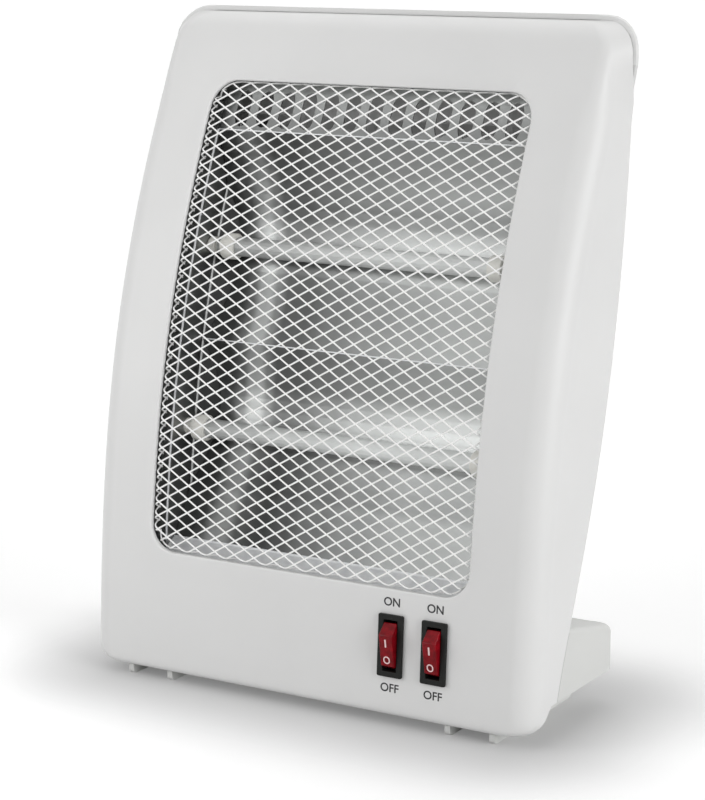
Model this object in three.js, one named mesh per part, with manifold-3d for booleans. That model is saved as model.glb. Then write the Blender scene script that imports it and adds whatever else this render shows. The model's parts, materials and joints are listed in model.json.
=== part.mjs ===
// A small quartz heater: a swept-back moulded case with a wire guard, two quartz tubes in front of
// a bright reflector, two rocker switches, a rear stand and a tip-over switch under the base.
// Millimetres. X runs to the right seen from the front, Y runs to the back, Z runs up.
// Y is measured from a plumb line just in front of the case while the pieces are made, and the
// finished heater is then moved so that its origin is the middle of its footprint on the floor.

import * as THREE from 'three';
import { mergeVertices } from 'three/addons/utils/BufferGeometryUtils.js';
import Module from 'manifold-3d';

const wasm = await Module();
wasm.setup();

// Sizes shared by several pieces

const caseWidth = 258;
const caseHeight = 336.8;
const half = caseWidth / 2;
const wall = 2.5;
const gap = 0.3;
const overrun = 20;
const fusing = 0.6;
const clearHeight = 18.75;

// The front of the case, seen from the side: a smooth curve that leans back as it rises
const front = { footY: 1.03, footZ: 8, footLean: 2.12, footPull: 132.9 };
const frontTop = { y: 85.8, z: caseHeight, lean: 27.9, pull: 136.2 };

// Rounded edges of the case
const sideRounding = 13.5;
const crownRadius = 10;
const crownLedge = 0.6;
const shellTopRadius = 16;
const shellFootRadius = 9;
const lipRadius = 4;
const lipBottom = 5.5;
const lipDepth = 5.5;
const chinBackY = 20.3;

// The rear edge of the side walls
const sideFoot = 6.1;
const topDepth = 12.8;
const rimRise = 2.7;
const rear = { footY: chinBackY + sideFoot, footLean: 16.5, footPull: 53.3 };
const rearTop = { y: frontTop.y + topDepth, z: caseHeight + rimRise, lean: 1.06, pull: 197.2 };

// Near the top the sides spread a little and their front rounding grows
const flare = { reach: 3, rounding: 11, startBelowTop: 50, endBelowTop: 22 };

// Rear stand
const stand = {
  rearY: 95.5, topFrontZ: 52, topSlope: 0.21, topRadius: 10.5, sideRadius: 2.5, cornerRadius: 12,
};

// Screws and the bosses that they go into
const screw = { headRadius: 3, headTop: 2.4, headHeight: 2, radius: 1.35, length: 12 };
const boss = { radius: 5, bore: 1.65, seat: 2 };
const wellRadius = 6.2;
const wellDepth = 10;
const coverScrewInset = 17;
const coverScrewBelowTop = 42;
const coverScrewAboveStand = 28;
const coverScrew = {
  x: half - coverScrewInset,
  upperZ: caseHeight - coverScrewBelowTop,
  lowerZ: stand.topFrontZ + coverScrewAboveStand,
};
const baseScrewInset = { front: 4.2, side: 34, rear: 17.5 };
const baseScrew = {
  frontY: chinBackY + baseScrewInset.front,
  rearX: half - baseScrewInset.side,
  rearY: stand.rearY - baseScrewInset.rear,
  frontTop: 44,
};

// Rear cover
const coverBulge = 8;
const coverRounding = 9;
const coverTopRounding = 12;
const coverTopRadius = 16;
const coverInset = 1.5;
const rimLap = 6.9;
const rimLapBelowTop = 20;
const rimStartBelowTop = 40;
const rimLapZ = caseHeight - rimLapBelowTop;
const rimStartZ = caseHeight - rimStartBelowTop;
const bead = { radius: 2, reach: 2, setback: 2.3, sink: 0.6 };
const ventSlot = { length: 30, height: 4, pitchX: 40, pitchZ: 10, columns: 5 };
const upperVentsBelowTop = 76;
const lowerVentsAboveStand = 44;
const upperVents = { z: caseHeight - upperVentsBelowTop, rows: 3 };
const lowerVents = { z: stand.topFrontZ + lowerVentsAboveStand, rows: 3 };

// Base plate and its rails
const plateThickness = 2.5;
const railInset = { outer: 23.5, inner: 47.7, rear: 7.5 };
const rail = {
  width: 3,
  outerX: half - railInset.outer,
  innerX: half - railInset.inner,
  frontY: 5,
  rearY: stand.rearY - railInset.rear,
  noseRadius: 2.4,
};

// Rocker switches
const bezel = { width: 13.6, height: 31, proud: 1.5 };
const switchBody = { width: 11, height: 27.4, depth: 20 };
const switchInsets = [76.7, 52.5];
const switchRise = 6.85;
const switchX = switchInsets.map((inset) => half - inset);
const switchZ = clearHeight + switchRise + bezel.height / 2;
const rocker = { width: 7.2, ridgeY: -8.5, ridgeZ: 8, endY: -2.5, endZ: 12.2, pivotDepth: 5, tilt: 12 };
const rockerPin = { radius: 1.1, length: 0.9 };
const blade = { width: 6.3, thickness: 0.8, length: 8, spacing: 8.5 };

// Window and wire guard
const windowMargin = { side: 37, top: 33.8, switches: 11.9 };
const window = {
  halfWidth: half - windowMargin.side,
  bottom: switchZ + bezel.height / 2 + windowMargin.switches,
  top: caseHeight - windowMargin.top,
  radius: 14,
};
const guard = { depth: 5, thickness: 0.8, backDepth: 11.7, border: 1.4, strand: 1.3 };
const diamond = { width: 32.5, height: 19.2 };
const guardClearance = 0.6;
// Cut cells along the edge that are smaller than this share of a diamond stay closed
const leastGapShare = 0.1;

// Reflector: its places are set out from the window, and depths are level from the front surface
const sheet = 0.7;
const reflectorDepth = 12;
const endPlateOverlap = 1.5;
const flangeClearance = 3;
const endPlateTaper = 11;
const endPlateBelowWindow = 8.5;
const endPlateAboveWindow = 6;
const endPlate = {
  x: window.halfWidth - endPlateOverlap,
  bendDepth: 32,
  rearX: window.halfWidth - endPlateOverlap - endPlateTaper,
  rearDepth: 42,
  flangeX: coverScrew.x - boss.radius - flangeClearance,
  bottom: window.bottom - endPlateBelowWindow,
  top: window.top + endPlateAboveWindow,
};
const flangeBossInset = { lower: 23.5, upper: 41 };
const flangeBoss = {
  x: (window.halfWidth + endPlate.flangeX) / 2,
  lowerZ: window.bottom + flangeBossInset.lower,
  upperZ: window.top - flangeBossInset.upper,
  radius: 3.5,
};
const foldBelowWindow = 25.5;
const fold = { z: window.top - foldBelowWindow };
const slotEdge = { fold: 2, window: 5.5 };
const reflectorSlot = {
  pitch: 13,
  width: 8,
  bottom: fold.z + slotEdge.fold,
  top: window.top - slotEdge.window,
};

// Quartz tubes, their ceramic caps and heating coils
const upperTubeBelowWindow = 84.2;
const lowerTubeAboveWindow = 58.7;
const tubeDepth = { upper: 27.4, lower: 26.7 };
const tubeLevel = {
  upper: window.top - upperTubeBelowWindow,
  lower: window.bottom + lowerTubeAboveWindow,
};
const tubeClearance = 6.5;
const coilInset = 8;
const tube = { radius: 5, bore: 4, endX: endPlate.x - tubeClearance };
const capInset = { disc: 12.5, outer: 4.9, nose: 4.5 };
const cap = { discX: endPlate.x - capInset.disc, discWidth: 3, discRadius: 6.85, waistRadius: 5.7 };
const capOuter = { x: endPlate.x - capInset.outer, width: 2.6, radius: 6 };
const capNose = { radius: 3.6, endX: endPlate.x + capInset.nose };
const coil = { radius: 2.9, wire: 0.45, curls: 12, endX: tube.endX - coilInset };
const coilSteps = 8;
const coilSides = 5;

// The bends of the reflector: how deep they lie and how far from the tubes and the window
const ridgeBelowMiddle = 2;
const ridge = { depth: 32.1, z: (tubeLevel.upper + tubeLevel.lower) / 2 - ridgeBelowMiddle };
const troughPull = { upperRise: 7, upperDepth: 55.6, lowerDrop: 0.4, lowerDepth: 52.8 };
const reflectorFootRise = 3;
const reflectorFoot = { depth: 19.3, z: window.bottom + reflectorFootRise };
const apronDrop = 3.7;
const apron = { depth: 6.3, z: window.bottom - apronDrop };

// Tip-over switch
const tipSwitchInset = 84;
const tipSwitch = { x: half - tipSwitchInset, y: 60, width: 16, depth: 14, height: 22 };
const plunger = { footRadius: 6, footHeight: 2.2, radius: 2.4, collarRadius: 4.2, collarHeight: 2 };
const plungerTravel = 4;

// Terminal block, thermal cut-out and cord inlet
const terminalBlock = {
  x: -30, y: 52, width: 34, depth: 14, height: 13, poles: 3, screwRadius: 2.2, wireRadius: 1.76,
};
const cutout = { depthIn: 22, width: 7, radius: 8, tabReach: 13.6, tabThickness: 1.4, tabHalf: 2.8 };
const glandInset = 33;
const glandAboveStand = 22;
const gland = {
  x: glandInset - half,
  z: stand.topFrontZ + glandAboveStand,
  radius: 5.6,
  flangeRadius: 8,
  flange: 2,
  bore: 3.6,
  inside: 9,
  outside: 7,
};

const arcSteps = 5;
const levels = 17;
const roundSides = 16;
const smallSides = 8;
const slotArcSteps = 1;

// Colours and finishes
const finish = {
  plastic: { color: 0xd9dad8, roughness: 0.45, metalness: 0 },
  white: { color: 0xe6e7e5, roughness: 0.5, metalness: 0 },
  wire: { color: 0xf2f3f2, roughness: 0.35, metalness: 0.1 },
  aluminium: { color: 0xa9adab, roughness: 0.25, metalness: 1 },
  quartz: { color: 0xe9ebea, roughness: 0.3, metalness: 0 },
  ceramic: { color: 0xe3e0d6, roughness: 0.6, metalness: 0 },
  coil: { color: 0x8c8479, roughness: 0.5, metalness: 1 },
  black: { color: 0x242624, roughness: 0.5, metalness: 0 },
  red: { color: 0xb4161c, roughness: 0.25, metalness: 0 },
  steel: { color: 0xb9bbbd, roughness: 0.35, metalness: 1 },
};

// Solids and meshes

function solidOf(geometry) {
  const bare = geometry.clone();
  bare.deleteAttribute('normal');
  bare.deleteAttribute('uv');
  const merged = mergeVertices(bare);
  const vertProperties = new Float32Array(merged.attributes.position.array);
  const triVerts = new Uint32Array(merged.index.array);
  return new wasm.Manifold(new wasm.Mesh({ numProp: 3, vertProperties, triVerts }));
}

function geometryOf(solid) {
  const mesh = solid.getMesh();
  const geometry = new THREE.BufferGeometry();
  geometry.setAttribute('position', new THREE.BufferAttribute(new Float32Array(mesh.vertProperties), 3));
  geometry.setIndex(new THREE.BufferAttribute(new Uint32Array(mesh.triVerts), 1));
  return geometry;
}

function named(name, geometry, look) {
  const indexed = geometry.index ? geometry : mergeVertices(geometry);
  indexed.computeVertexNormals();
  const mesh = new THREE.Mesh(indexed, new THREE.MeshStandardMaterial(finish[look]));
  mesh.name = name;
  return mesh;
}

function bodyOf(points, index) {
  const positions = points.flatMap((point) => [point.x, point.y, point.z]);
  const geometry = new THREE.BufferGeometry();
  geometry.setAttribute('position', new THREE.BufferAttribute(new Float32Array(positions), 3));
  geometry.setIndex(index);
  return geometry;
}

// A closed body through rings of points, which run anticlockwise seen from the last ring.
// Its two ends are flat faces, filled in the plane of the two axes named
function loft(rings, across = 'x', up = 'y') {
  const count = rings[0].length;
  const index = [];
  for (let level = 0; level + 1 < rings.length; level += 1) {
    for (let i = 0; i < count; i += 1) {
      const a = level * count + i;
      const b = level * count + ((i + 1) % count);
      index.push(a, b, b + count, a, b + count, a + count);
    }
  }
  const flat = rings[0].map((point) => new THREE.Vector2(point[across], point[up]));
  const last = (rings.length - 1) * count;
  for (const [a, b, c] of THREE.ShapeUtils.triangulateShape(flat, [])) {
    index.push(c, b, a, last + a, last + b, last + c);
  }
  return bodyOf(rings.flat(), index);
}

// A side outline, given as [y, z] points, drawn out along X and centred on it
function alongX(outline, width) {
  const shape = new THREE.Shape(outline.map(([y, z]) => new THREE.Vector2(y, z)));
  const geometry = new THREE.ExtrudeGeometry(shape, { depth: width, bevelEnabled: false });
  geometry.translate(0, 0, -width / 2);
  geometry.applyMatrix4(new THREE.Matrix4().makeBasis(
    new THREE.Vector3(0, 1, 0),
    new THREE.Vector3(0, 0, 1),
    new THREE.Vector3(1, 0, 0),
  ));
  return geometry;
}

// A front outline in X and Z drawn out along Y, from yLow to yHigh
function alongY(shape, yLow, yHigh, curveSegments = arcSteps) {
  const settings = { depth: yHigh - yLow, bevelEnabled: false, curveSegments };
  const geometry = new THREE.ExtrudeGeometry(shape, settings);
  geometry.rotateX(Math.PI / 2);
  geometry.translate(0, yHigh, 0);
  return geometry;
}

// A plan outline in X and Y drawn up from zLow to zHigh
function alongZ(shape, zLow, zHigh) {
  const settings = { depth: zHigh - zLow, bevelEnabled: false, curveSegments: arcSteps };
  return new THREE.ExtrudeGeometry(shape, settings).translate(0, 0, zLow);
}

function box(xLow, xHigh, yLow, yHigh, zLow, zHigh) {
  const geometry = new THREE.BoxGeometry(xHigh - xLow, yHigh - yLow, zHigh - zLow);
  return geometry.translate((xLow + xHigh) / 2, (yLow + yHigh) / 2, (zLow + zHigh) / 2);
}

// A round bar between two places on one axis, 'x', 'y' or 'z'
function bar(axis, radius, low, high, at, sides = smallSides) {
  const geometry = new THREE.CylinderGeometry(radius, radius, high - low, sides);
  if (axis === 'x') geometry.rotateZ(-Math.PI / 2);
  if (axis === 'z') geometry.rotateX(Math.PI / 2);
  const centre = { x: 0, y: 0, z: 0, ...at };
  centre[axis] = (low + high) / 2;
  return geometry.translate(centre.x, centre.y, centre.z);
}

function roundedRectangle(xLow, xHigh, yLow, yHigh, radius) {
  const shape = new THREE.Shape();
  shape.moveTo(xLow + radius, yLow);
  shape.lineTo(xHigh - radius, yLow);
  shape.absarc(xHigh - radius, yLow + radius, radius, -Math.PI / 2, 0);
  shape.lineTo(xHigh, yHigh - radius);
  shape.absarc(xHigh - radius, yHigh - radius, radius, 0, Math.PI / 2);
  shape.lineTo(xLow + radius, yHigh);
  shape.absarc(xLow + radius, yHigh - radius, radius, Math.PI / 2, Math.PI);
  shape.lineTo(xLow, yLow + radius);
  shape.absarc(xLow + radius, yLow + radius, radius, Math.PI, Math.PI * 1.5);
  return shape;
}

// Curves of the case

// A side curve between two places, each with its lean from the plumb line and its pull
function sideCurve(foot, top) {
  const start = new THREE.Vector2(foot.footY, foot.footZ);
  const end = new THREE.Vector2(top.y, top.z);
  const leanOf = (degrees) => {
    const angle = THREE.MathUtils.degToRad(degrees);
    return new THREE.Vector2(Math.sin(angle), Math.cos(angle));
  };
  const pullUp = leanOf(foot.footLean).multiplyScalar(foot.footPull).add(start);
  const pullDown = leanOf(top.lean).multiplyScalar(-top.pull).add(end);
  return new THREE.CubicBezierCurve(start, pullUp, pullDown, end);
}

const frontCurve = sideCurve(front, frontTop);
const rearCurve = sideCurve({ ...rear, footZ: clearHeight }, rearTop);

// How far back a side curve is at a height; past its ends it runs on straight
function yAt(curve, z) {
  let low = 0;
  let high = 1;
  if (z <= curve.v0.y || z >= curve.v3.y) {
    const end = z <= curve.v0.y ? 0 : 1;
    const place = curve.getPoint(end);
    const tangent = curve.getTangent(end);
    return place.x + ((z - place.y) * tangent.x) / tangent.y;
  }
  for (let step = 0; step < 40; step += 1) {
    const middle = (low + high) / 2;
    if (curve.getPoint(middle).y < z) low = middle;
    else high = middle;
  }
  return curve.getPoint((low + high) / 2).x;
}

const frontY = (z) => yAt(frontCurve, z);
const rearY = (z) => yAt(rearCurve, z);

// How far the flare has come at a height, from 0 to 1
function flareShare(z) {
  return THREE.MathUtils.smoothstep(z, caseHeight - flare.startBelowTop, caseHeight - flare.endBelowTop);
}

// A place at a depth behind the front surface
const behindFront = (depth, z) => ({ y: frontY(z) + depth, z });

const upperTube = behindFront(tubeDepth.upper, tubeLevel.upper);
const lowerTube = behindFront(tubeDepth.lower, tubeLevel.lower);

function spread(low, high, count) {
  return Array.from({ length: count + 1 }, (_, i) => low + ((high - low) * i) / count);
}

// The seam between the front shell and the rear cover: the rear edge of the side walls, brought
// forward near the top and back again over the corners
function seamY(z) {
  if (z <= rimStartZ) return rearY(z);
  const lap = rearY(z) - (rimLap * (z - rimStartZ)) / (rimLapZ - rimStartZ);
  if (z <= rimLapZ) return lap;
  const share = (z - rimLapZ) / (frontTop.z - rimLapZ);
  const from = rearY(rimLapZ) - rimLap;
  return from + (frontTop.y + crownRadius + crownLedge - from) * share * share;
}

// How much narrower the case is at a height, through the rounded corners of its front view
function cornerInset(z, bottom, bottomRadius, top, topRadius) {
  const low = bottom + bottomRadius - z;
  const high = z - (top - topRadius);
  if (low > 0) return bottomRadius - Math.sqrt(Math.max(0, bottomRadius ** 2 - low ** 2));
  if (high > 0) return topRadius - Math.sqrt(Math.max(0, topRadius ** 2 - high ** 2));
  return 0;
}

// Plan outline of the case at a height: front and rear corners rounded, the same points each time
function planRing(z, halfWidth, yFront, yRear, frontRadius, rearRadius) {
  const corners = [
    { x: -halfWidth + frontRadius, y: yFront + frontRadius, radius: frontRadius, from: Math.PI },
    { x: halfWidth - frontRadius, y: yFront + frontRadius, radius: frontRadius, from: Math.PI * 1.5 },
    { x: halfWidth - rearRadius, y: yRear - rearRadius, radius: rearRadius, from: 0 },
    { x: -halfWidth + rearRadius, y: yRear - rearRadius, radius: rearRadius, from: Math.PI / 2 },
  ];
  return corners.flatMap((corner) => {
    const steps = corner.radius > 0 ? arcSteps : 0;
    return spread(0, steps > 0 ? Math.PI / 2 : 0, Math.max(steps, 1))
      .slice(0, steps + 1)
      .map((turn) => new THREE.Vector3(
        corner.x + corner.radius * Math.cos(corner.from + turn),
        corner.y + corner.radius * Math.sin(corner.from + turn),
        z,
      ));
  });
}

// Heights for the rings: close together through the rounded ends
function heights(bottom, bottomRadius, top, topRadius) {
  const low = bottomRadius > 0
    ? spread(0, Math.PI / 2, arcSteps).map((turn) => bottom + bottomRadius * (1 - Math.cos(turn)))
    : [bottom];
  const high = spread(0, Math.PI / 2, arcSteps).map((turn) => top - topRadius * (1 - Math.sin(turn)));
  const middle = spread(low.at(-1), high[0], levels).slice(1, -1);
  return [...low, ...middle, ...high];
}

// The front base screws go into posts that grow out of the side walls
const basePostX = half - wall + fusing - boss.radius;
const farRear = rearTop.y + coverBulge + overrun;

// Front shell

// The body of the front shell, drawn in by an inset on every side but the rear
function shellBody(inset) {
  const bottom = lipBottom + inset;
  const top = frontTop.z - inset;
  const rings = heights(bottom, shellFootRadius - inset, top, shellTopRadius - inset).map((z) => {
    const back = cornerInset(z, lipBottom, lipRadius, top, crownRadius - inset);
    const narrower = cornerInset(z, bottom, shellFootRadius - inset, top, shellTopRadius - inset);
    const halfWidth = half + flare.reach * flareShare(z) - inset - narrower;
    const rounding = sideRounding + flare.rounding * flareShare(z) - inset;
    return planRing(z, halfWidth, frontY(z) + inset + back, farRear, rounding, 0);
  });
  return solidOf(loft(rings));
}

const seamHeights = [
  ...spread(clearHeight, rimStartZ, levels),
  ...spread(rimStartZ, rimLapZ, arcSteps).slice(1),
  ...spread(rimLapZ, caseHeight, arcSteps).slice(1),
];

function frontShell() {
  // Side outline of the moulding: chin, bottom edge of the side walls and the seam
  const seam = seamHeights.map((z) => [seamY(z), z]);
  const outline = [
    [-overrun, lipBottom - overrun],
    [lipBottom + front.footY, lipBottom - overrun],
    [lipDepth + front.footY, lipBottom],
    [chinBackY, clearHeight],
    ...seam,
    [seamY(caseHeight), caseHeight + overrun],
    [-overrun, caseHeight + overrun],
  ];
  const chinLength = Math.hypot(chinBackY - lipDepth - front.footY, clearHeight - lipBottom);
  const chinLift = (wall * chinLength) / (chinBackY - lipDepth - front.footY);
  // What lies below the hollow: the floor of the lip and the slanted chin
  const chin = [
    [-overrun, lipBottom - overrun],
    [chinBackY, lipBottom - overrun],
    [chinBackY, clearHeight],
    [chinBackY - wall / 2, clearHeight + chinLift - wall / 2],
    [lipDepth + front.footY, lipBottom + chinLift],
    [-overrun, lipBottom + chinLift],
  ];
  const hollow = shellBody(wall).subtract(solidOf(alongX(chin, caseWidth + overrun)));
  const opening = roundedRectangle(
    -window.halfWidth, window.halfWidth, window.bottom, window.top, window.radius,
  );
  let shell = shellBody(0)
    .intersect(solidOf(alongX(outline, caseWidth + overrun)))
    .subtract(hollow)
    .subtract(solidOf(alongY(opening, -overrun, frontY(window.top) + wall + overrun)));
  const skin = shellBody(wall - fusing);
  for (const side of [-1, 1]) {
    for (const z of [coverScrew.lowerZ, coverScrew.upperZ]) {
      const end = coverSeat(z) - gap;
      const post = bar('y', boss.radius, frontY(z), end, { x: side * coverScrew.x, z });
      const bore = bar('y', boss.bore, end - screw.length, end + overrun, { x: side * coverScrew.x, z });
      shell = shell.add(solidOf(post).intersect(skin)).subtract(solidOf(bore));
    }
    for (const z of [flangeBoss.lowerZ, flangeBoss.upperZ]) {
      const post = bar('y', flangeBoss.radius, frontY(z), frontY(z) + endPlate.rearDepth, {
        x: side * flangeBoss.x, z,
      });
      const reach = faceSlab(wall - fusing, reflectorDepth - gap, z - overrun, z + overrun, half);
      shell = shell.add(solidOf(post).intersect(reach));
    }
    const place = { x: side * basePostX, y: baseScrew.frontY };
    const low = clearHeight + plateThickness + gap;
    const footPost = solidOf(bar('z', boss.radius, low, baseScrew.frontTop, place)).intersect(skin);
    const footBore = bar('z', boss.bore, low - overrun, low + screw.length, place);
    shell = shell.add(footPost).subtract(solidOf(footBore));
  }
  for (const x of switchX) {
    const hole = solidOf(placeOnFace(box(
      -switchBody.width / 2 - gap, switchBody.width / 2 + gap,
      -overrun, overrun,
      -switchBody.height / 2 - gap, switchBody.height / 2 + gap,
    ), x));
    shell = shell.subtract(hole);
  }
  return named('front_shell', geometryOf(shell), 'plastic');
}

// A layer that follows the front surface, between two depths measured level from it
function faceSlab(depthLow, depthHigh, zLow, zHigh, halfWidth) {
  const rows = spread(zLow, zHigh, Math.ceil(((zHigh - zLow) * levels) / frontTop.z));
  const outline = [
    ...rows.map((z) => [frontY(z) + depthHigh, z]),
    ...rows.toReversed().map((z) => [frontY(z) + depthLow, z]),
  ];
  return solidOf(alongX(outline, halfWidth * 2));
}

// Moves a switch piece, made round its own centre, to its place on the sloping front
const faceLean = Math.atan2(
  frontY(switchZ + bezel.height / 2) - frontY(switchZ - bezel.height / 2),
  bezel.height,
);

function placeOnFace(geometry, x) {
  return geometry.rotateX(-faceLean).translate(x, frontY(switchZ), switchZ);
}

// Rear cover

const coverTop = rearTop.z;

function coverBackY(z, inset) {
  const radius = coverBulge;
  const high = z - (coverTop - radius);
  const back = rearY(Math.min(z, coverTop - radius)) + radius;
  if (high <= 0) return back - inset;
  return back - radius + Math.sqrt(Math.max(0, (radius - inset) ** 2 - high ** 2));
}

function coverSeat(z) {
  return coverBackY(z, 0) - wellDepth;
}

const standTopZ = (y) => stand.topFrontZ - (y - rearY(stand.topFrontZ)) * stand.topSlope;

function coverBody(inset) {
  const bottom = clearHeight;
  const top = coverTop - inset;
  const rings = heights(bottom, 0, top, coverTopRadius - inset).map((z) => {
    const share = THREE.MathUtils.clamp((z - rimStartZ) / (rimLapZ - rimStartZ), 0, 1);
    const narrower = cornerInset(z, bottom, 0, top, coverTopRadius - inset);
    const halfWidth = half - coverInset + bead.reach * share - inset - narrower;
    const rounding = coverRounding + (coverTopRounding - coverRounding) * share - inset;
    return planRing(z, halfWidth, 0, coverBackY(z, inset), 0, rounding);
  });
  return solidOf(loft(rings));
}

// The round bead along the rim: a bar that goes up one side, over the top and down the other,
// and that sinks into the cover at both ends
function rimBead() {
  const top = coverTop - bead.radius;
  const widest = half + bead.reach;
  const sunk = half - coverInset - bead.radius - bead.sink;
  const side = spread(rimStartZ, rimLapZ, arcSteps).map((z, i) => ({
    x: sunk + ((widest - sunk) * i) / arcSteps,
    z,
  }));
  const corner = spread(0, Math.PI / 2, arcSteps + 1).map((turn) => ({
    x: widest - shellTopRadius * (1 - Math.cos(turn)),
    z: top - shellTopRadius * (1 - Math.sin(turn)),
  }));
  const right = [...side, ...corner].map(({ x, z }) => (
    new THREE.Vector3(x, seamY(Math.min(z, caseHeight)) + gap + bead.setback, z)
  ));
  const left = right.toReversed().map((point) => point.clone().setX(-point.x));
  const path = [...right, ...left];
  const rings = path.map((centre, i) => {
    const before = path[Math.max(0, i - 1)];
    const after = path[Math.min(path.length - 1, i + 1)];
    const along = after.clone().sub(before).normalize();
    const away = along.clone().cross(new THREE.Vector3(0, 1, 0)).normalize();
    const rearward = along.clone().cross(away).normalize();
    return spread(0, Math.PI * 2, smallSides).slice(0, -1).map((angle) => centre.clone()
      .addScaledVector(away, bead.radius * Math.cos(angle))
      .addScaledVector(rearward, bead.radius * Math.sin(angle)));
  });
  return solidOf(loft(rings, 'x', 'y'));
}

function rearCover() {
  const seam = seamHeights.map((z) => [seamY(z) + gap, z]);
  const outline = [
    [farRear, standTopZ(farRear) + gap],
    [farRear, coverTop + overrun],
    [seamY(caseHeight) + gap, coverTop + overrun],
    ...seam.toReversed().filter(([y, z]) => z > standTopZ(y) + gap),
    [rearY(stand.topFrontZ) + gap, stand.topFrontZ + gap],
  ].toReversed();
  const limits = solidOf(alongX(outline, caseWidth + overrun));
  const outside = coverBody(0).intersect(limits);
  let cover = outside.subtract(coverBody(wall)).add(rimBead());
  for (const side of [-1, 1]) {
    for (const z of [coverScrew.lowerZ, coverScrew.upperZ]) {
      const seat = coverSeat(z);
      const place = { x: side * coverScrew.x, z };
      const well = solidOf(bar('y', wellRadius, seat, farRear, place)).intersect(outside);
      const bore = solidOf(bar('y', boss.bore, seat - overrun, farRear, place));
      const sink = solidOf(bar('y', screw.headRadius + gap, seat + boss.seat, farRear, place));
      cover = cover.add(well).subtract(bore).subtract(sink);
    }
  }
  for (const group of [upperVents, lowerVents]) {
    for (let row = 0; row < group.rows; row += 1) {
      for (let column = 0; column < ventSlot.columns; column += 1) {
        const x = (column - (ventSlot.columns - 1) / 2) * ventSlot.pitchX;
        const z = group.z + row * ventSlot.pitchZ;
        const slot = roundedRectangle(
          x - ventSlot.length / 2, x + ventSlot.length / 2,
          z - ventSlot.height / 2, z + ventSlot.height / 2,
          ventSlot.height / 2,
        );
        const cut = alongY(slot, coverBackY(z, 0) - wellDepth, farRear, slotArcSteps);
        cover = cover.subtract(solidOf(cut));
      }
    }
  }
  const inlet = solidOf(placeAtInlet(bar('y', gland.radius + gap, -overrun, overrun, {}, roundSides)));
  return named('rear_cover', geometryOf(cover.subtract(inlet)), 'plastic');
}

// Cord inlet, square to the sloping back of the cover

const inletLean = Math.atan2(
  coverBackY(gland.z + gland.radius, 0) - coverBackY(gland.z - gland.radius, 0),
  gland.radius * 2,
);

function placeAtInlet(geometry) {
  return geometry.rotateX(-inletLean).translate(gland.x, coverBackY(gland.z, 0), gland.z);
}

function cableGland() {
  const points = [
    [gland.bore, -wall - gland.inside],
    [gland.radius, -wall - gland.inside],
    [gland.radius, gap],
    [gland.flangeRadius, gap],
    [gland.flangeRadius, gap + gland.flange],
    [gland.radius, gap + gland.flange],
    [gland.bore + gland.flange / 2, gap + gland.flange + gland.outside],
    [gland.bore, gap + gland.flange + gland.outside],
    [gland.bore, -wall - gland.inside],
  ];
  const profile = points.map(([radius, along]) => new THREE.Vector2(radius, along));
  return named('cable_gland', placeAtInlet(new THREE.LatheGeometry(profile, roundSides)), 'black');
}

// Rear stand

// The stand as a solid with sloping top: its top edge is rounded a little along the sides and much
// along the rear, and the rounding grows from the one to the other through the corners
function standBody(inset) {
  const reach = half - inset;
  const back = stand.rearY - inset;
  const radius = stand.cornerRadius - inset;
  const corner = spread(0, Math.PI / 2, arcSteps).map((turn, i) => ({
    x: reach - radius + radius * Math.cos(turn),
    y: back - radius + radius * Math.sin(turn),
    inward: new THREE.Vector2(-Math.cos(turn), -Math.sin(turn)),
    rounding: stand.sideRadius + ((stand.topRadius - stand.sideRadius) * i) / arcSteps,
  }));
  const right = [
    { x: reach, y: -overrun, inward: new THREE.Vector2(-1, 0), rounding: stand.sideRadius },
    ...corner,
  ];
  const left = right.toReversed().map(({ x, y, inward, rounding }) => (
    { x: -x, y, inward: new THREE.Vector2(-inward.x, inward.y), rounding }
  ));
  const plan = [...right, ...left];
  const bottom = plan.map(({ x, y }) => new THREE.Vector3(x, y, clearHeight - overrun * 2));
  const top = spread(0, Math.PI / 2, arcSteps).map((turn) => plan.map(({ x, y, inward, rounding }) => {
    const drawnIn = Math.max(0, rounding - inset) * (1 - Math.cos(turn));
    const lowered = Math.max(0, rounding - inset) * (1 - Math.sin(turn));
    const place = new THREE.Vector2(x, y).addScaledVector(inward, drawnIn);
    return new THREE.Vector3(place.x, place.y, standTopZ(place.y) - inset - lowered);
  }));
  const edge = inset > 0
    ? [[0, clearHeight - overrun], [0, stand.topFrontZ + overrun]]
    : [...spread(clearHeight, stand.topFrontZ, arcSteps).map((z) => [rearY(z) + gap, z]),
      [rearY(stand.topFrontZ) + gap, stand.topFrontZ + overrun]];
  const outline = [...edge, [farRear, stand.topFrontZ + overrun], [farRear, edge[0][1]]].toReversed();
  return solidOf(loft([bottom, ...top])).intersect(solidOf(alongX(outline, caseWidth + overrun)));
}

function rearStand() {
  const outside = standBody(0);
  let body = outside.subtract(standBody(wall));
  const low = clearHeight + plateThickness + gap;
  for (const side of [-1, 1]) {
    const place = { x: side * baseScrew.rearX, y: baseScrew.rearY };
    const post = solidOf(bar('z', boss.radius, low, stand.topFrontZ, place)).intersect(outside);
    const bore = bar('z', boss.bore, low - overrun, low + screw.length, place);
    body = body.add(post).subtract(solidOf(bore));
  }
  return named('rear_stand', geometryOf(body), 'plastic');
}

// Base plate with the four rails that the heater stands on

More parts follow.
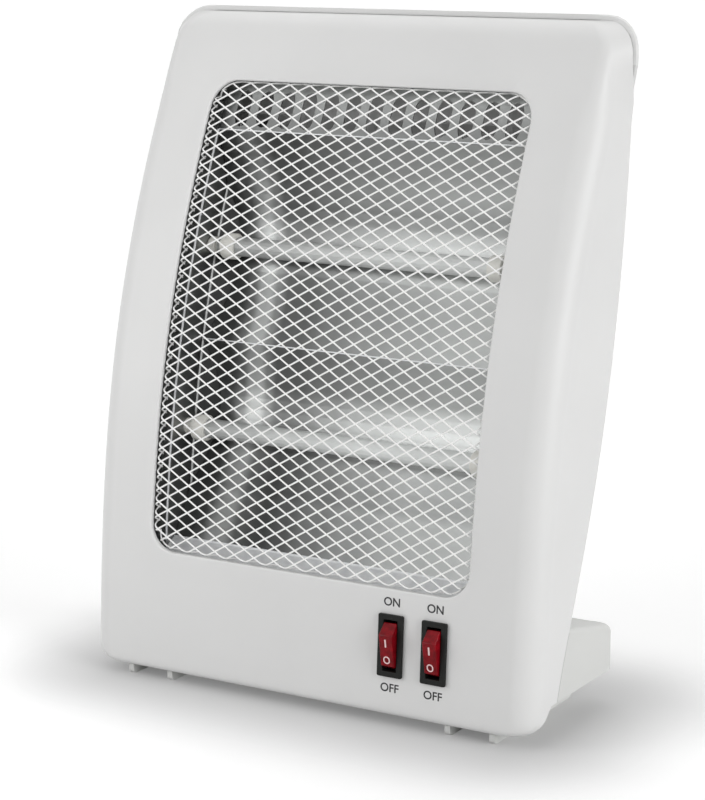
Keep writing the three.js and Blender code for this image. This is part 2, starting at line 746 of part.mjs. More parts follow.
function basePlate() {
  const reach = half - wall - gap;
  const rearEdge = stand.rearY - wall - gap;
  const plan = roundedRectangle(-reach, reach, chinBackY + gap, rearEdge, stand.cornerRadius - wall - gap);
  let plate = solidOf(alongZ(plan, clearHeight, clearHeight + plateThickness));
  const chinSlope = (clearHeight - lipBottom) / (chinBackY - lipDepth - front.footY);
  const chinGap = gap * Math.hypot(1, chinSlope);
  const underChin = (y) => lipBottom + (y - lipDepth - front.footY) * chinSlope - chinGap;
  const nose = spread(Math.PI, Math.PI * 1.5, arcSteps).map((turn) => [
    rail.frontY + rail.noseRadius * (1 + Math.cos(turn)),
    rail.noseRadius * (1 + Math.sin(turn)),
  ]);
  const heel = spread(-Math.PI / 2, 0, arcSteps).map((turn) => [
    rail.rearY - rail.noseRadius * (1 - Math.cos(turn)),
    rail.noseRadius * (1 + Math.sin(turn)),
  ]);
  const outline = [
    ...nose,
    ...heel,
    [rail.rearY, clearHeight + fusing],
    [chinBackY + gap, clearHeight + fusing],
    [chinBackY + gap, underChin(chinBackY)],
    [lipDepth + front.footY, lipBottom - chinGap],
    [rail.frontY, lipBottom - chinGap],
  ];
  for (const x of [-rail.outerX, -rail.innerX, rail.innerX, rail.outerX]) {
    plate = plate.add(solidOf(alongX(outline, rail.width).translate(x, 0, 0)));
  }
  const holes = [
    ...[-1, 1].map((side) => ({ x: side * basePostX, y: baseScrew.frontY, radius: boss.bore })),
    ...[-1, 1].map((side) => ({ x: side * baseScrew.rearX, y: baseScrew.rearY, radius: boss.bore })),
    { x: tipSwitch.x, y: tipSwitch.y, radius: plunger.radius + gap },
  ];
  for (const { x, y, radius } of holes) {
    plate = plate.subtract(solidOf(bar('z', radius, 0, clearHeight + overrun, { x, y })));
  }
  return named('base_plate', geometryOf(plate), 'plastic');
}

// Wire guard: one sheet of diamond mesh, bent to the front curve, with its edges turned back

const guardEdge = {
  halfWidth: window.halfWidth - guardClearance,
  bottom: window.bottom + guardClearance,
  top: window.top - guardClearance,
};

// Distance along the front curve, from the foot of the guard up to a height
const guardRows = spread(guardEdge.bottom, guardEdge.top, levels * 4);
const guardLengths = [0];
for (let i = 1; i < guardRows.length; i += 1) {
  const rise = guardRows[i] - guardRows[i - 1];
  const run = frontY(guardRows[i]) - frontY(guardRows[i - 1]);
  guardLengths.push(guardLengths[i - 1] + Math.hypot(rise, run));
}
const guardLength = guardLengths.at(-1);

function heightAlong(length) {
  const next = guardLengths.findIndex((value) => value >= length);
  const i = next < 1 ? (next < 0 ? guardLengths.length - 1 : 1) : next;
  const share = (length - guardLengths[i - 1]) / (guardLengths[i] - guardLengths[i - 1]);
  return guardRows[i - 1] + (guardRows[i] - guardRows[i - 1]) * share;
}

// The part of a polygon that lies inside a convex outline, which runs anticlockwise
function clippedTo(polygon, outline) {
  let kept = polygon;
  outline.forEach((corner, i) => {
    const edge = outline[(i + 1) % outline.length].clone().sub(corner);
    const distance = (point) => edge.cross(point.clone().sub(corner));
    kept = kept.flatMap((point, k) => {
      const next = kept[(k + 1) % kept.length];
      const here = distance(point);
      const there = distance(next);
      const found = here >= 0 ? [point] : [];
      if (here * there < 0) found.push(point.clone().lerp(next, here / (here - there)));
      return found;
    });
  });
  return kept;
}

// A body with flat triangles for its front, given a thickness and laid on the curve at a depth
function bentToFront(triangles, depth, thickness) {
  const key = (point) => `${point.x.toFixed(3)} ${point.y.toFixed(3)}`;
  const edges = new Map();
  for (const corners of triangles) {
    corners.forEach((point, i) => {
      const next = corners[(i + 1) % corners.length];
      edges.set(`${key(point)} ${key(next)}`, [point, next]);
    });
  }
  const positions = [];
  const add = (point, layer) => {
    const z = heightAlong(point.y);
    positions.push(point.x, frontY(z) + depth + layer * thickness, z);
  };
  for (const [a, b, c] of triangles) {
    for (const point of [a, b, c]) add(point, 0);
    for (const point of [a, c, b]) add(point, 1);
  }
  for (const [a, b] of edges.values()) {
    if (edges.has(`${key(b)} ${key(a)}`)) continue;
    for (const [point, layer] of [[b, 0], [a, 0], [a, 1], [b, 0], [a, 1], [b, 1]]) add(point, layer);
  }
  const geometry = new THREE.BufferGeometry();
  geometry.setAttribute('position', new THREE.BufferAttribute(new Float32Array(positions), 3));
  return geometry;
}

// The flat outline of the guard, drawn in by an inset, with points along its sides for the bend
function guardOutline(inset, rows) {
  const reach = guardEdge.halfWidth - inset;
  const radius = window.radius - guardClearance - inset;
  const corners = [
    { x: reach - radius, y: inset + radius, from: -Math.PI / 2 },
    { x: reach - radius, y: guardLength - inset - radius, from: 0 },
    { x: radius - reach, y: guardLength - inset - radius, from: Math.PI / 2 },
    { x: radius - reach, y: inset + radius, from: Math.PI },
  ];
  const arcs = corners.map((corner) => spread(0, Math.PI / 2, arcSteps).map((turn) => new THREE.Vector2(
    corner.x + radius * Math.cos(corner.from + turn),
    corner.y + radius * Math.sin(corner.from + turn),
  )));
  const side = spread(inset + radius, guardLength - inset - radius, rows).slice(1, -1);
  const right = side.map((y) => new THREE.Vector2(reach, y));
  const left = side.toReversed().map((y) => new THREE.Vector2(-reach, y));
  return [...arcs[0], ...right, ...arcs[1], ...arcs[2], ...left, ...arcs[3]];
}

function trianglesOf(outline, holes) {
  const points = [...outline, ...holes.flat()];
  return THREE.ShapeUtils.triangulateShape(outline, holes).map((corners) => corners.map((i) => points[i]));
}

// Triangles between two outlines with as many points, one inside the other
function stripTriangles(outer, inner) {
  return outer.flatMap((point, i) => {
    const j = (i + 1) % outer.length;
    return [[point, outer[j], inner[j]], [point, inner[j], inner[i]]];
  });
}

function wireGuard() {
  const rows = Math.ceil(guardLength / diamond.height);
  const columns = Math.ceil(guardEdge.halfWidth / diamond.width);
  // The mesh ends inside the thickness of the band that is turned back round it
  const outer = guardOutline(guard.thickness / 2, 1);
  const inner = guardOutline(guard.border, 1);
  const edgeDistance = (diamond.width * diamond.height) / 2 / Math.hypot(diamond.width, diamond.height);
  const openShare = (edgeDistance - guard.strand / 2) / edgeDistance;
  const leastGap = diamond.width * diamond.height * leastGapShare;
  const triangles = [];
  let gaps = 0;
  for (let row = 0; row <= rows * 2; row += 1) {
    for (let column = -columns; column <= columns; column += 1) {
      const x = (column + (row % 2) / 2) * diamond.width;
      const y = (row * diamond.height) / 2;
      const cell = (share) => [[1, 0], [0, 1], [-1, 0], [0, -1]].map(([across, up]) => new THREE.Vector2(
        x + (across * share * diamond.width) / 2,
        y + (up * share * diamond.height) / 2,
      ));
      const around = clippedTo(cell(1), outer);
      if (around.length < 3) continue;
      const hole = clippedTo(cell(openShare), inner);
      const open = hole.length > 2 && THREE.ShapeUtils.area(hole) > leastGap;
      triangles.push(...trianglesOf(around, open ? [hole.toReversed()] : []));
      gaps += open ? 1 : 0;
    }
  }
  console.log(`wire guard: ${gaps} gaps`);
  const face = bentToFront(triangles, guard.depth, guard.thickness);
  const band = stripTriangles(guardOutline(0, rows), guardOutline(guard.thickness, rows));
  const bandStart = guard.depth + guard.thickness / 2;
  const edge = bentToFront(band, bandStart, guard.backDepth - bandStart);
  return named('wire_guard', geometryOf(solidOf(face).add(solidOf(edge))), 'wire');
}

// Reflector: two end plates, a trough sheet with a ridge, a slotted top plate and a bottom apron

// How far out the inner face of an end plate lies at a depth behind the front surface
function endPlateX(depth) {
  if (depth <= endPlate.bendDepth) return endPlate.x;
  const share = (depth - endPlate.bendDepth) / (endPlate.rearDepth - endPlate.bendDepth);
  return endPlate.x + (endPlate.rearX - endPlate.x) * share;
}

function reflectorEnd(name, side) {
  const plan = [
    [endPlate.x, reflectorDepth],
    [endPlate.flangeX, reflectorDepth],
    [endPlate.flangeX, reflectorDepth + sheet],
    [endPlate.x + sheet, reflectorDepth + sheet],
    [endPlate.x + sheet, endPlate.bendDepth],
    [endPlate.rearX + sheet, endPlate.rearDepth],
    [endPlate.rearX, endPlate.rearDepth],
    [endPlate.x, endPlate.bendDepth],
  ];
  const ordered = side > 0 ? plan : plan.map(([x, depth]) => [-x, depth]).toReversed();
  const rings = spread(endPlate.bottom, endPlate.top, levels).map((z) => ordered.map(
    ([x, depth]) => new THREE.Vector3(x, frontY(z) + depth, z),
  ));
  // Above the fold only the flange goes on
  const rows = spread(fold.z + wall, endPlate.top + wall, arcSteps);
  const above = [
    [farRear, rows[0]],
    [farRear, rows.at(-1)],
    ...rows.toReversed().map((z) => [frontY(z) + reflectorDepth + sheet + gap, z]),
  ];
  let plate = solidOf(loft(rings)).subtract(solidOf(alongX(above, caseWidth)));
  for (const { y, z } of [upperTube, lowerTube]) {
    const hole = bar('x', capNose.radius + gap, -half, half, { y, z }, roundSides);
    plate = plate.subtract(solidOf(hole));
  }
  return named(name, geometryOf(plate), 'aluminium');
}

// A thin sheet whose side view is a curve, with its ends cut to the end plates
function troughSheet(points) {
  const offset = points.map((point, i) => {
    const before = points[Math.max(0, i - 1)];
    const after = points[Math.min(points.length - 1, i + 1)];
    const along = after.clone().sub(before).normalize();
    return new THREE.Vector2(point.x - along.y * sheet, point.y + along.x * sheet);
  });
  const outline = [...points, ...offset.toReversed()];
  const rings = [-1, 1].map((side) => outline.map((point) => {
    const depth = Math.max(reflectorDepth, point.x - frontY(point.y) + sheet);
    return new THREE.Vector3(side * (endPlateX(depth) - gap), point.x, point.y);
  }));
  return loft(rings, 'y', 'z');
}

function reflectorBack() {
  const bend = (depth, z) => new THREE.Vector2(frontY(z) + depth, z);
  const top = bend(reflectorDepth, fold.z);
  const upperPull = bend(troughPull.upperDepth, upperTube.z + troughPull.upperRise);
  const ridgeTop = bend(ridge.depth, ridge.z);
  const lowerPull = bend(troughPull.lowerDepth, lowerTube.z - troughPull.lowerDrop);
  const foot = bend(reflectorFoot.depth, reflectorFoot.z);
  const upper = new THREE.QuadraticBezierCurve(top, upperPull, ridgeTop);
  const lower = new THREE.QuadraticBezierCurve(ridgeTop, lowerPull, foot);
  const points = [...upper.getPoints(roundSides), ...lower.getPoints(roundSides).slice(1)];
  return named('reflector_back', troughSheet(points.toReversed()), 'aluminium');
}

function reflectorTopPlate() {
  const reach = endPlate.x - gap;
  let plate = faceSlab(reflectorDepth, reflectorDepth + sheet, fold.z + gap, endPlate.top, reach);
  const count = Math.floor((reach * 2 - reflectorSlot.width) / reflectorSlot.pitch);
  for (let i = 0; i < count; i += 1) {
    const x = (i - (count - 1) / 2) * reflectorSlot.pitch;
    const slot = roundedRectangle(
      x - reflectorSlot.width / 2, x + reflectorSlot.width / 2,
      reflectorSlot.bottom, reflectorSlot.top,
      reflectorSlot.width / 2,
    );
    plate = plate.subtract(solidOf(alongY(slot, 0, farRear, slotArcSteps)));
  }
  return named('reflector_top_plate', geometryOf(plate), 'aluminium');
}

function reflectorApron() {
  const reach = endPlate.x - gap;
  const frontEdge = behindFront(apron.depth, apron.z);
  const rearEdge = behindFront(reflectorFoot.depth - gap, reflectorFoot.z);
  const outline = [
    [frontEdge.y, frontEdge.z - sheet],
    [rearEdge.y, rearEdge.z - sheet],
    [rearEdge.y, rearEdge.z],
    [frontEdge.y, frontEdge.z],
  ];
  return named('reflector_apron', alongX(outline, reach * 2), 'aluminium');
}

// Quartz tubes, ceramic caps and heating coils

function quartzTube(name, at) {
  const outer = solidOf(bar('x', tube.radius, -tube.endX, tube.endX, at, roundSides));
  const bore = solidOf(bar('x', tube.bore, -half, half, at, roundSides));
  return named(name, geometryOf(outer.subtract(bore)), 'quartz');
}

// A ceramic end cap like a spool, whose nose goes through the end plate
function ceramicCap(name, side, at) {
  const outline = [
    [0, cap.discX],
    [cap.discRadius, cap.discX],
    [cap.discRadius, cap.discX + cap.discWidth],
    [cap.waistRadius, cap.discX + cap.discWidth],
    [cap.waistRadius, capOuter.x],
    [capOuter.radius, capOuter.x],
    [capOuter.radius, capOuter.x + capOuter.width],
    [capNose.radius, capOuter.x + capOuter.width],
    [capNose.radius, capNose.endX],
    [0, capNose.endX],
  ];
  const profile = outline.map(([radius, along]) => new THREE.Vector2(radius, along));
  const body = new THREE.LatheGeometry(profile, roundSides).rotateZ(-Math.PI / 2);
  if (side < 0) body.rotateY(Math.PI);
  body.translate(0, at.y, at.z);
  const reach = tube.endX + gap;
  const socket = bar('x', tube.radius + gap, -reach, reach, at, roundSides);
  const solid = solidOf(body).subtract(solidOf(socket));
  return named(name, geometryOf(solid), 'ceramic');
}

// A coil of resistance wire: straight ends on the axis, curls wound between them
function heatingCoil(name, at) {
  const turnSteps = coil.curls * coilSteps;
  const endX = coil.endX + coil.radius * 2;
  const axis = new THREE.Vector3(1, 0, 0);
  const turns = spread(-coil.endX, coil.endX, turnSteps).map((x, i) => {
    const angle = (i * Math.PI * 2) / coilSteps;
    return new THREE.Vector3(x, coil.radius * Math.cos(angle), coil.radius * Math.sin(angle));
  });
  const centres = [new THREE.Vector3(-endX, 0, 0), ...turns, new THREE.Vector3(endX, 0, 0)];
  const rings = centres.map((centre, i) => {
    const atEnd = i === 0 || i === centres.length - 1;
    const along = atEnd ? axis : centres[i + 1].clone().sub(centres[i - 1]).normalize();
    const away = atEnd ? new THREE.Vector3(0, 1, 0) : new THREE.Vector3(0, centre.y, centre.z).normalize();
    const side = along.clone().cross(away).normalize();
    const up = side.clone().cross(along);
    return spread(0, Math.PI * 2, coilSides).slice(0, -1).map((angle) => centre.clone()
      .addScaledVector(up, coil.wire * Math.cos(angle))
      .addScaledVector(side, coil.wire * Math.sin(angle)));
  });
  console.log(`${name}: least gap between curls ${leastCurlGap(centres).toFixed(2)} mm`);
  return named(name, loft(rings, 'y', 'z').translate(0, at.y, at.z), 'coil');
}

// The least distance between the faces of two curls, measured between points a turn apart
function leastCurlGap(centres) {
  const distances = centres.flatMap((centre, i) => centres
    .slice(i + coilSteps / 2)
    .map((other) => centre.distanceTo(other)));
  return Math.min(...distances) - coil.wire * 2;
}

// Rocker switches

const openingHalf = Math.hypot(rocker.endY, rocker.endZ) + gap;
const bezelFront = -gap - bezel.proud;
const pivotY = bezelFront + rocker.pivotDepth;

function switchHousing(name, x) {
  const flange = roundedRectangle(
    -bezel.width / 2, bezel.width / 2, -bezel.height / 2, bezel.height / 2, bezel.proud / 2,
  );
  const body = box(
    -switchBody.width / 2, switchBody.width / 2,
    -gap - fusing, switchBody.depth,
    -switchBody.height / 2, switchBody.height / 2,
  );
  const opening = box(
    -rocker.width / 2 - gap, rocker.width / 2 + gap,
    -overrun, pivotY + openingHalf,
    -openingHalf, openingHalf,
  );
  const pinReach = rocker.width / 2 + rockerPin.length + gap;
  const pinHole = bar('x', rockerPin.radius + gap, -pinReach, pinReach, { y: pivotY });
  let housing = solidOf(alongY(flange, bezelFront, -gap))
    .add(solidOf(body))
    .subtract(solidOf(opening))
    .subtract(solidOf(pinHole));
  for (const z of [-blade.spacing, 0, blade.spacing]) {
    housing = housing.add(solidOf(box(
      -blade.width / 2, blade.width / 2,
      switchBody.depth - fusing, switchBody.depth + blade.length,
      z - blade.thickness / 2, z + blade.thickness / 2,
    )));
  }
  return named(name, placeOnFace(geometryOf(housing), x), 'black');
}

// The rocker is drawn level and then tilted to its off place, with the I end out
function switchRocker(name, x) {
  const { ridgeY, ridgeZ, endY, endZ } = rocker;
  const hub = rockerPin.radius * 2;
  const outline = [
    [ridgeY, -ridgeZ],
    [endY, -endZ],
    [hub / 2, -endZ + hub],
    [hub, -hub],
    [hub, hub],
    [hub / 2, endZ - hub],
    [endY, endZ],
    [ridgeY, ridgeZ],
  ];
  const pinReach = rocker.width / 2 + rockerPin.length;
  const body = solidOf(alongX(outline, rocker.width))
    .add(solidOf(bar('x', rockerPin.radius, -pinReach, pinReach, {})));
  const tilt = THREE.MathUtils.degToRad(rocker.tilt);
  const turned = geometryOf(body).rotateX(tilt).translate(0, pivotY, 0);
  return named(name, placeOnFace(turned, x), 'red');
}

// Tip-over switch and its plunger

const tipBase = clearHeight + plateThickness + gap;
const collarZ = tipBase + wall + plungerTravel + gap;

function tipSwitchBody() {
  const { x, y, width, depth, height } = tipSwitch;
  const block = box(
    x - width / 2, x + width / 2, y - depth / 2, y + depth / 2, tipBase, tipBase + height,
  );
  const pocketTop = collarZ + plunger.collarHeight + wall;
  const pocket = bar('z', plunger.collarRadius + gap, tipBase + wall, pocketTop, { x, y }, roundSides);
  const bore = bar('z', plunger.radius + gap, tipBase - overrun, collarZ, { x, y }, roundSides);
  const solid = solidOf(block).subtract(solidOf(pocket)).subtract(solidOf(bore));
  return named('tip_switch_body', geometryOf(solid), 'black');
}

function tipPlunger() {
  const { footRadius, footHeight, radius, collarRadius, collarHeight } = plunger;
  const outline = [
    [0, 0],
    [footRadius - footHeight / 2, 0],
    [footRadius, footHeight / 2],
    [footRadius, footHeight],
    [radius, footHeight],
    [radius, collarZ],
    [collarRadius, collarZ],
    [collarRadius, collarZ + collarHeight],
    [0, collarZ + collarHeight],
  ];
  const profile = outline.map(([away, up]) => new THREE.Vector2(away, up));
  const geometry = new THREE.LatheGeometry(profile, roundSides).rotateX(Math.PI / 2);
  return named('tip_plunger', geometry.translate(tipSwitch.x, tipSwitch.y, 0), 'black');
}

// Terminal block and thermal cut-out

function terminalStrip() {
  const { x, y, width, depth, height, poles, screwRadius, wireRadius } = terminalBlock;
  const bottom = clearHeight + plateThickness + gap;
  let block = solidOf(box(
    x - width / 2, x + width / 2, y - depth / 2, y + depth / 2, bottom, bottom + height,
  ));
  for (let pole = 0; pole < poles; pole += 1) {
    const poleX = x + ((pole - (poles - 1) / 2) * width) / poles;
    const well = bar('z', screwRadius, bottom + height / 2, bottom + height + overrun, { x: poleX, y });
    const bore = bar('y', wireRadius, y - depth, y + depth, { x: poleX, z: bottom + height / poles });
    block = block.subtract(solidOf(well)).subtract(solidOf(bore));
  }
  return named('terminal_block', geometryOf(block), 'white');
}

function thermalCutout() {
  const outer = endPlate.x + sheet + gap;
  const at = behindFront(cutout.depthIn, ridge.z);
  const body = solidOf(bar('x', cutout.radius, -outer - cutout.width, -outer, at, roundSides));
  const tabs = box(
    -outer - cutout.tabThickness, -outer,
    at.y - cutout.tabHalf, at.y + cutout.tabHalf,
    at.z - cutout.tabReach, at.z + cutout.tabReach,
  );
  return named('thermal_cutout', geometryOf(body.add(solidOf(tabs))), 'steel');
}

// Screws, drawn with the tip at the far end of their own Z axis

function screwGeometry() {
  const outline = [
    [0, -screw.headHeight],
    [screw.headTop, -screw.headHeight],
    [screw.headRadius, -screw.headHeight / 2],
    [screw.headRadius, 0],
    [screw.radius, 0],
    [screw.radius, screw.length - screw.radius],
    [0, screw.length],
  ];
  const profile = outline.map(([away, along]) => new THREE.Vector2(away, along));
  return new THREE.LatheGeometry(profile, smallSides).rotateX(Math.PI / 2);
}

function screws() {
  const list = [];
  for (const [sideName, side] of [['left', -1], ['right', 1]]) {
    for (const [level, z] of [['lower', coverScrew.lowerZ], ['upper', coverScrew.upperZ]]) {
      const seat = coverSeat(z) + boss.seat + gap;
      const geometry = screwGeometry().rotateX(Math.PI / 2).translate(side * coverScrew.x, seat, z);
      list.push(named(`cover_screw_${level}_${sideName}`, geometry, 'steel'));
    }
    const places = [['front', basePostX, baseScrew.frontY], ['rear', baseScrew.rearX, baseScrew.rearY]];
    for (const [level, x, y] of places) {
      const geometry = screwGeometry().translate(side * x, y, clearHeight - gap);
      list.push(named(`base_screw_${level}_${sideName}`, geometry, 'steel'));
    }
  }
  return list;
}

// The whole heater

const pieces = [
  frontShell(),
  rearCover(),
  rearStand(),
  basePlate(),
  wireGuard(),
  reflectorBack(),
  reflectorTopPlate(),
  reflectorApron(),
  reflectorEnd('reflector_end_left', -1),
  reflectorEnd('reflector_end_right', 1),
  cableGland(),
  tipSwitchBody(),
  tipPlunger(),
  terminalStrip(),
  thermalCutout(),
  ...screws(),
];

for (const [level, at] of [['upper', upperTube], ['lower', lowerTube]]) {
  pieces.push(quartzTube(`quartz_tube_${level}`, at));
  pieces.push(heatingCoil(`heating_coil_${level}`, at));
  pieces.push(ceramicCap(`ceramic_cap_${level}_left`, -1, at));
  pieces.push(ceramicCap(`ceramic_cap_${level}_right`, 1, at));
}

for (const [sideName, x] of [['left', switchX[0]], ['right', switchX[1]]]) {
  pieces.push(switchHousing(`switch_housing_${sideName}`, x));
  pieces.push(switchRocker(`switch_rocker_${sideName}`, x));
}

const heater = new THREE.Group();
heater.add(...pieces);

// The origin is the middle of the heater's box, on the floor
const bounds = new THREE.Box3().setFromObject(heater);
heater.position.y = -(bounds.min.y + bounds.max.y) / 2;
heater.updateMatrixWorld(true);
console.log(`middle of the depth at ${(-heater.position.y).toFixed(3)} mm`);

export default heater;
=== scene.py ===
# %% [markdown]
# A small quartz heater, dressed for a studio picture.
#
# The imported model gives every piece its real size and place. Here each piece gets its finish, and the
# pieces whose fine form matters most in the picture are made again as smooth meshes round that frame.
# Everything is in metres: X to the right seen from the front, Y to the back, Z up.

# %% Load the fixed frame
import json
import math

import bmesh
import bpy
from mathutils import Matrix, Vector


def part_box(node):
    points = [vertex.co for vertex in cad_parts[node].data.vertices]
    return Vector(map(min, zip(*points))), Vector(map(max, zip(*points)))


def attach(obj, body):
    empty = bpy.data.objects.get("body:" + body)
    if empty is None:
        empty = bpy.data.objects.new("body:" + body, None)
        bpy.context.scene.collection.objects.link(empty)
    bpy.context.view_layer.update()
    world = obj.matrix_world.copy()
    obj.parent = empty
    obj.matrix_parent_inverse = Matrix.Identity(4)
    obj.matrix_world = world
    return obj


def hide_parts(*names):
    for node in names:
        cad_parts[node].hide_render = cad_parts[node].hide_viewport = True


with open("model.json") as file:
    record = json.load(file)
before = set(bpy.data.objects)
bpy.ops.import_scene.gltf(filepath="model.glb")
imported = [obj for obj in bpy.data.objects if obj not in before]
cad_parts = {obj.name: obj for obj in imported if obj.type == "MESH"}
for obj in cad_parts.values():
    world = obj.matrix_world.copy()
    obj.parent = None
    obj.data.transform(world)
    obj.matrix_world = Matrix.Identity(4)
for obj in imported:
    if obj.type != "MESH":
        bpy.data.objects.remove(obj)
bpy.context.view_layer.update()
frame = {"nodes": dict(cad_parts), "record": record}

# %% [markdown]
# The camera stands to the right of the heater and a little above it. Its place and its lens were worked
# out from the straight edges of the photograph, as a surveyor would, so no shift is needed and the same
# perspective comes out by itself. Framing it by hand until it looks right would be quicker, but then the
# proportions of the case could not be trusted.

# %% Camera
camera_place = Vector((0.6037, -1.005763, 0.3897))
camera_turn = math.radians(30.95)
camera_drop = math.radians(11.65)
sensor_size = 36
focal_pixels = 2390
picture_height = 800

lens = bpy.data.cameras.new("camera")
lens.sensor_width = sensor_size
lens.lens = focal_pixels / picture_height * sensor_size
camera = bpy.data.objects.new("camera", lens)
camera.location = camera_place
camera.rotation_euler = (math.pi / 2 - camera_drop, 0, camera_turn)
bpy.context.collection.objects.link(camera)
bpy.context.scene.camera = camera
bpy.context.scene.view_settings.view_transform = "Standard"
print("lens:", round(lens.lens, 2), "mm")

# %% [markdown]
# Every finish here is a Principled shader with a little unevenness worked out from noise: no real surface
# is the same all over. Painted images could do it too, but noise in object space needs no unwrapping and
# stays put when a piece moves. Three small helpers add that unevenness to any shader: a noise, a socket
# that the noise drives between two values, and a surface that the noise raises.

# %% Helpers for uneven materials
noise_low = 0.3
noise_high = 0.7


def new_material(name, colour, roughness, **settings):
    """A Principled material; further settings are named as the sockets are, with _ for a space."""
    material = bpy.data.materials.new(name)
    material.use_nodes = True
    shader = material.node_tree.nodes["Principled BSDF"]
    shader.inputs["Base Color"].default_value = (*colour, 1)
    shader.inputs["Roughness"].default_value = roughness
    for key, value in settings.items():
        shader.inputs[key.replace("_", " ")].default_value = value
    return material


def noise(material, scale, detail=4, stretch=(1, 1, 1)):
    """A noise texture in object space, drawn out where stretch is below 1."""
    nodes = material.node_tree.nodes
    links = material.node_tree.links
    place = nodes.new("ShaderNodeTexCoord")
    mapping = nodes.new("ShaderNodeMapping")
    mapping.inputs["Scale"].default_value = stretch
    texture = nodes.new("ShaderNodeTexNoise")
    texture.inputs["Scale"].default_value = scale
    texture.inputs["Detail"].default_value = detail
    links.new(place.outputs["Object"], mapping.inputs["Vector"])
    links.new(mapping.outputs["Vector"], texture.inputs["Vector"])
    return texture.outputs["Fac"]


def uneven(material, socket, source, low, high):
    """Drives a socket from noise, between two values or two colours."""
    nodes = material.node_tree.nodes
    links = material.node_tree.links
    ramp = nodes.new("ShaderNodeValToRGB")
    for element, place, value in zip(ramp.color_ramp.elements, (noise_low, noise_high), (low, high)):
        element.position = place
        element.color = (*value, 1) if socket == "Base Color" else (value, value, value, 1)
    links.new(source, ramp.inputs["Fac"])
    links.new(ramp.outputs["Color"], nodes["Principled BSDF"].inputs[socket])


def bumpy(material, source, height, strength):
    """Raises the surface by a height in metres where the noise is light."""
    nodes = material.node_tree.nodes
    links = material.node_tree.links
    bump = nodes.new("ShaderNodeBump")
    bump.inputs["Strength"].default_value = strength
    bump.inputs["Distance"].default_value = height
    links.new(source, bump.inputs["Height"])
    links.new(bump.outputs["Normal"], nodes["Principled BSDF"].inputs["Normal"])


# %% [markdown]
# The case is moulded in a satin white plastic. Its mould was spark-eroded, which leaves a fine grain, and
# the tone drifts a little over a big wall. The stand is a slightly greyer plastic, the switch housings
# are black, and the print on the panel is a dark ink. All of them are one recipe with other values.

# %% Finishes of the plastics
blotch_scale = 14
sheen_scale = 60
spark_scale = 1800
spark_height = 0.00002
spark_strength = 0.35
sheen_change = 0.08


def moulded_plastic(name, colour, roughness, drift=0.02, gloss=0.4):
    """Satin plastic from a spark-eroded mould."""
    material = new_material(name, colour, roughness, Specular_IOR_Level=gloss)
    dark = tuple(channel * (1 - drift) for channel in colour)
    light = tuple(min(1, channel * (1 + drift)) for channel in colour)
    dull, shiny = roughness * (1 + sheen_change), roughness * (1 - sheen_change)
    uneven(material, "Base Color", noise(material, blotch_scale), dark, light)
    uneven(material, "Roughness", noise(material, sheen_scale), shiny, dull)
    bumpy(material, noise(material, spark_scale, detail=2), spark_height, spark_strength)
    return material


case_white = moulded_plastic("case_white", (0.72, 0.72, 0.715), 0.42)
stand_grey = moulded_plastic("stand_grey", (0.63, 0.635, 0.62), 0.48)
switch_black = moulded_plastic("switch_black", (0.011, 0.012, 0.011), 0.36, drift=0.15, gloss=0.16)
inner_black = moulded_plastic("inner_black", (0.02, 0.02, 0.02), 0.5, drift=0.15)
mark_pale = moulded_plastic("mark_pale", (0.85, 0.62, 0.62), 0.5)
print_grey = moulded_plastic("print_grey", (0.02, 0.02, 0.022), 0.6, drift=0.2)
print("plastics:", case_white.name, stand_grey.name, switch_black.name, mark_pale.name, print_grey.name)

# %% [markdown]
# A rocker is a deep red plastic with a lamp's lens behind its face, so its red is cloudy and it shines
# more than the case. True see-through plastic would need a lit inside; a cloudy red of two tones says the
# same at this size.

# %% Finish of the rockers
cloud_scale = 300
face_wave_scale = 500
face_wave_height = 0.00003

rocker_red = new_material("rocker_red", (0.2, 0.003, 0.008), 0.2, Specular_IOR_Level=0.16)
uneven(rocker_red, "Base Color", noise(rocker_red, cloud_scale), (0.12, 0.0015, 0.004), (0.27, 0.004, 0.01))
bumpy(rocker_red, noise(rocker_red, face_wave_scale), face_wave_height, 0.3)
print("rockers:", rocker_red.name)

# %% [markdown]
# The reflector is thin bright aluminium. A plain sheet has faint streaks along its rolling direction,
# which noise drawn out along X gives, and shallow dents. Its cut edges and the apron at the foot are
# painted nearly white for the light that they catch: a painted glint.

# %% Finishes of plain sheet, and a painted glint
streak_scale = 90
streak_stretch = (0.06, 1, 1)
streak_darkness = 0.86
polish_scale = 35
polish_change = 0.2
dent_scale = 24
dent_stretch = (0.5, 1, 1)
dent_height = 0.0006


def rolled_sheet(name, colour, roughness):
    """Aluminium sheet with faint streaks along its rolling direction, which is X here."""
    material = new_material(name, colour, roughness, Metallic=1.0)
    dark = tuple(channel * streak_darkness for channel in colour)
    dull, shiny = roughness * (1 + polish_change), roughness * (1 - polish_change)
    uneven(material, "Base Color", noise(material, streak_scale, stretch=streak_stretch), dark, colour)
    uneven(material, "Roughness", noise(material, polish_scale), shiny, dull)
    bumpy(material, noise(material, dent_scale, detail=3, stretch=dent_stretch), dent_height, 0.35)
    return material


reflector_sheet = rolled_sheet("reflector_sheet", (0.4, 0.41, 0.4), 0.3)

# Painted glint: the cut edges and the apron get a nearly white sheet for the light that they catch.
glint_scale = 200
ripple_scale = 60
ripple_height = 0.0003
painted_glint_sheet = new_material("painted_glint_sheet", (0.92, 0.93, 0.95), 0.35, Metallic=0.3)
uneven(painted_glint_sheet, "Base Color", noise(painted_glint_sheet, glint_scale), (0.8, 0.81, 0.83), (0.95, 0.96, 0.97))
bumpy(painted_glint_sheet, noise(painted_glint_sheet, ripple_scale), ripple_height, 0.3)
print("plain sheets:", reflector_sheet.name, painted_glint_sheet.name)
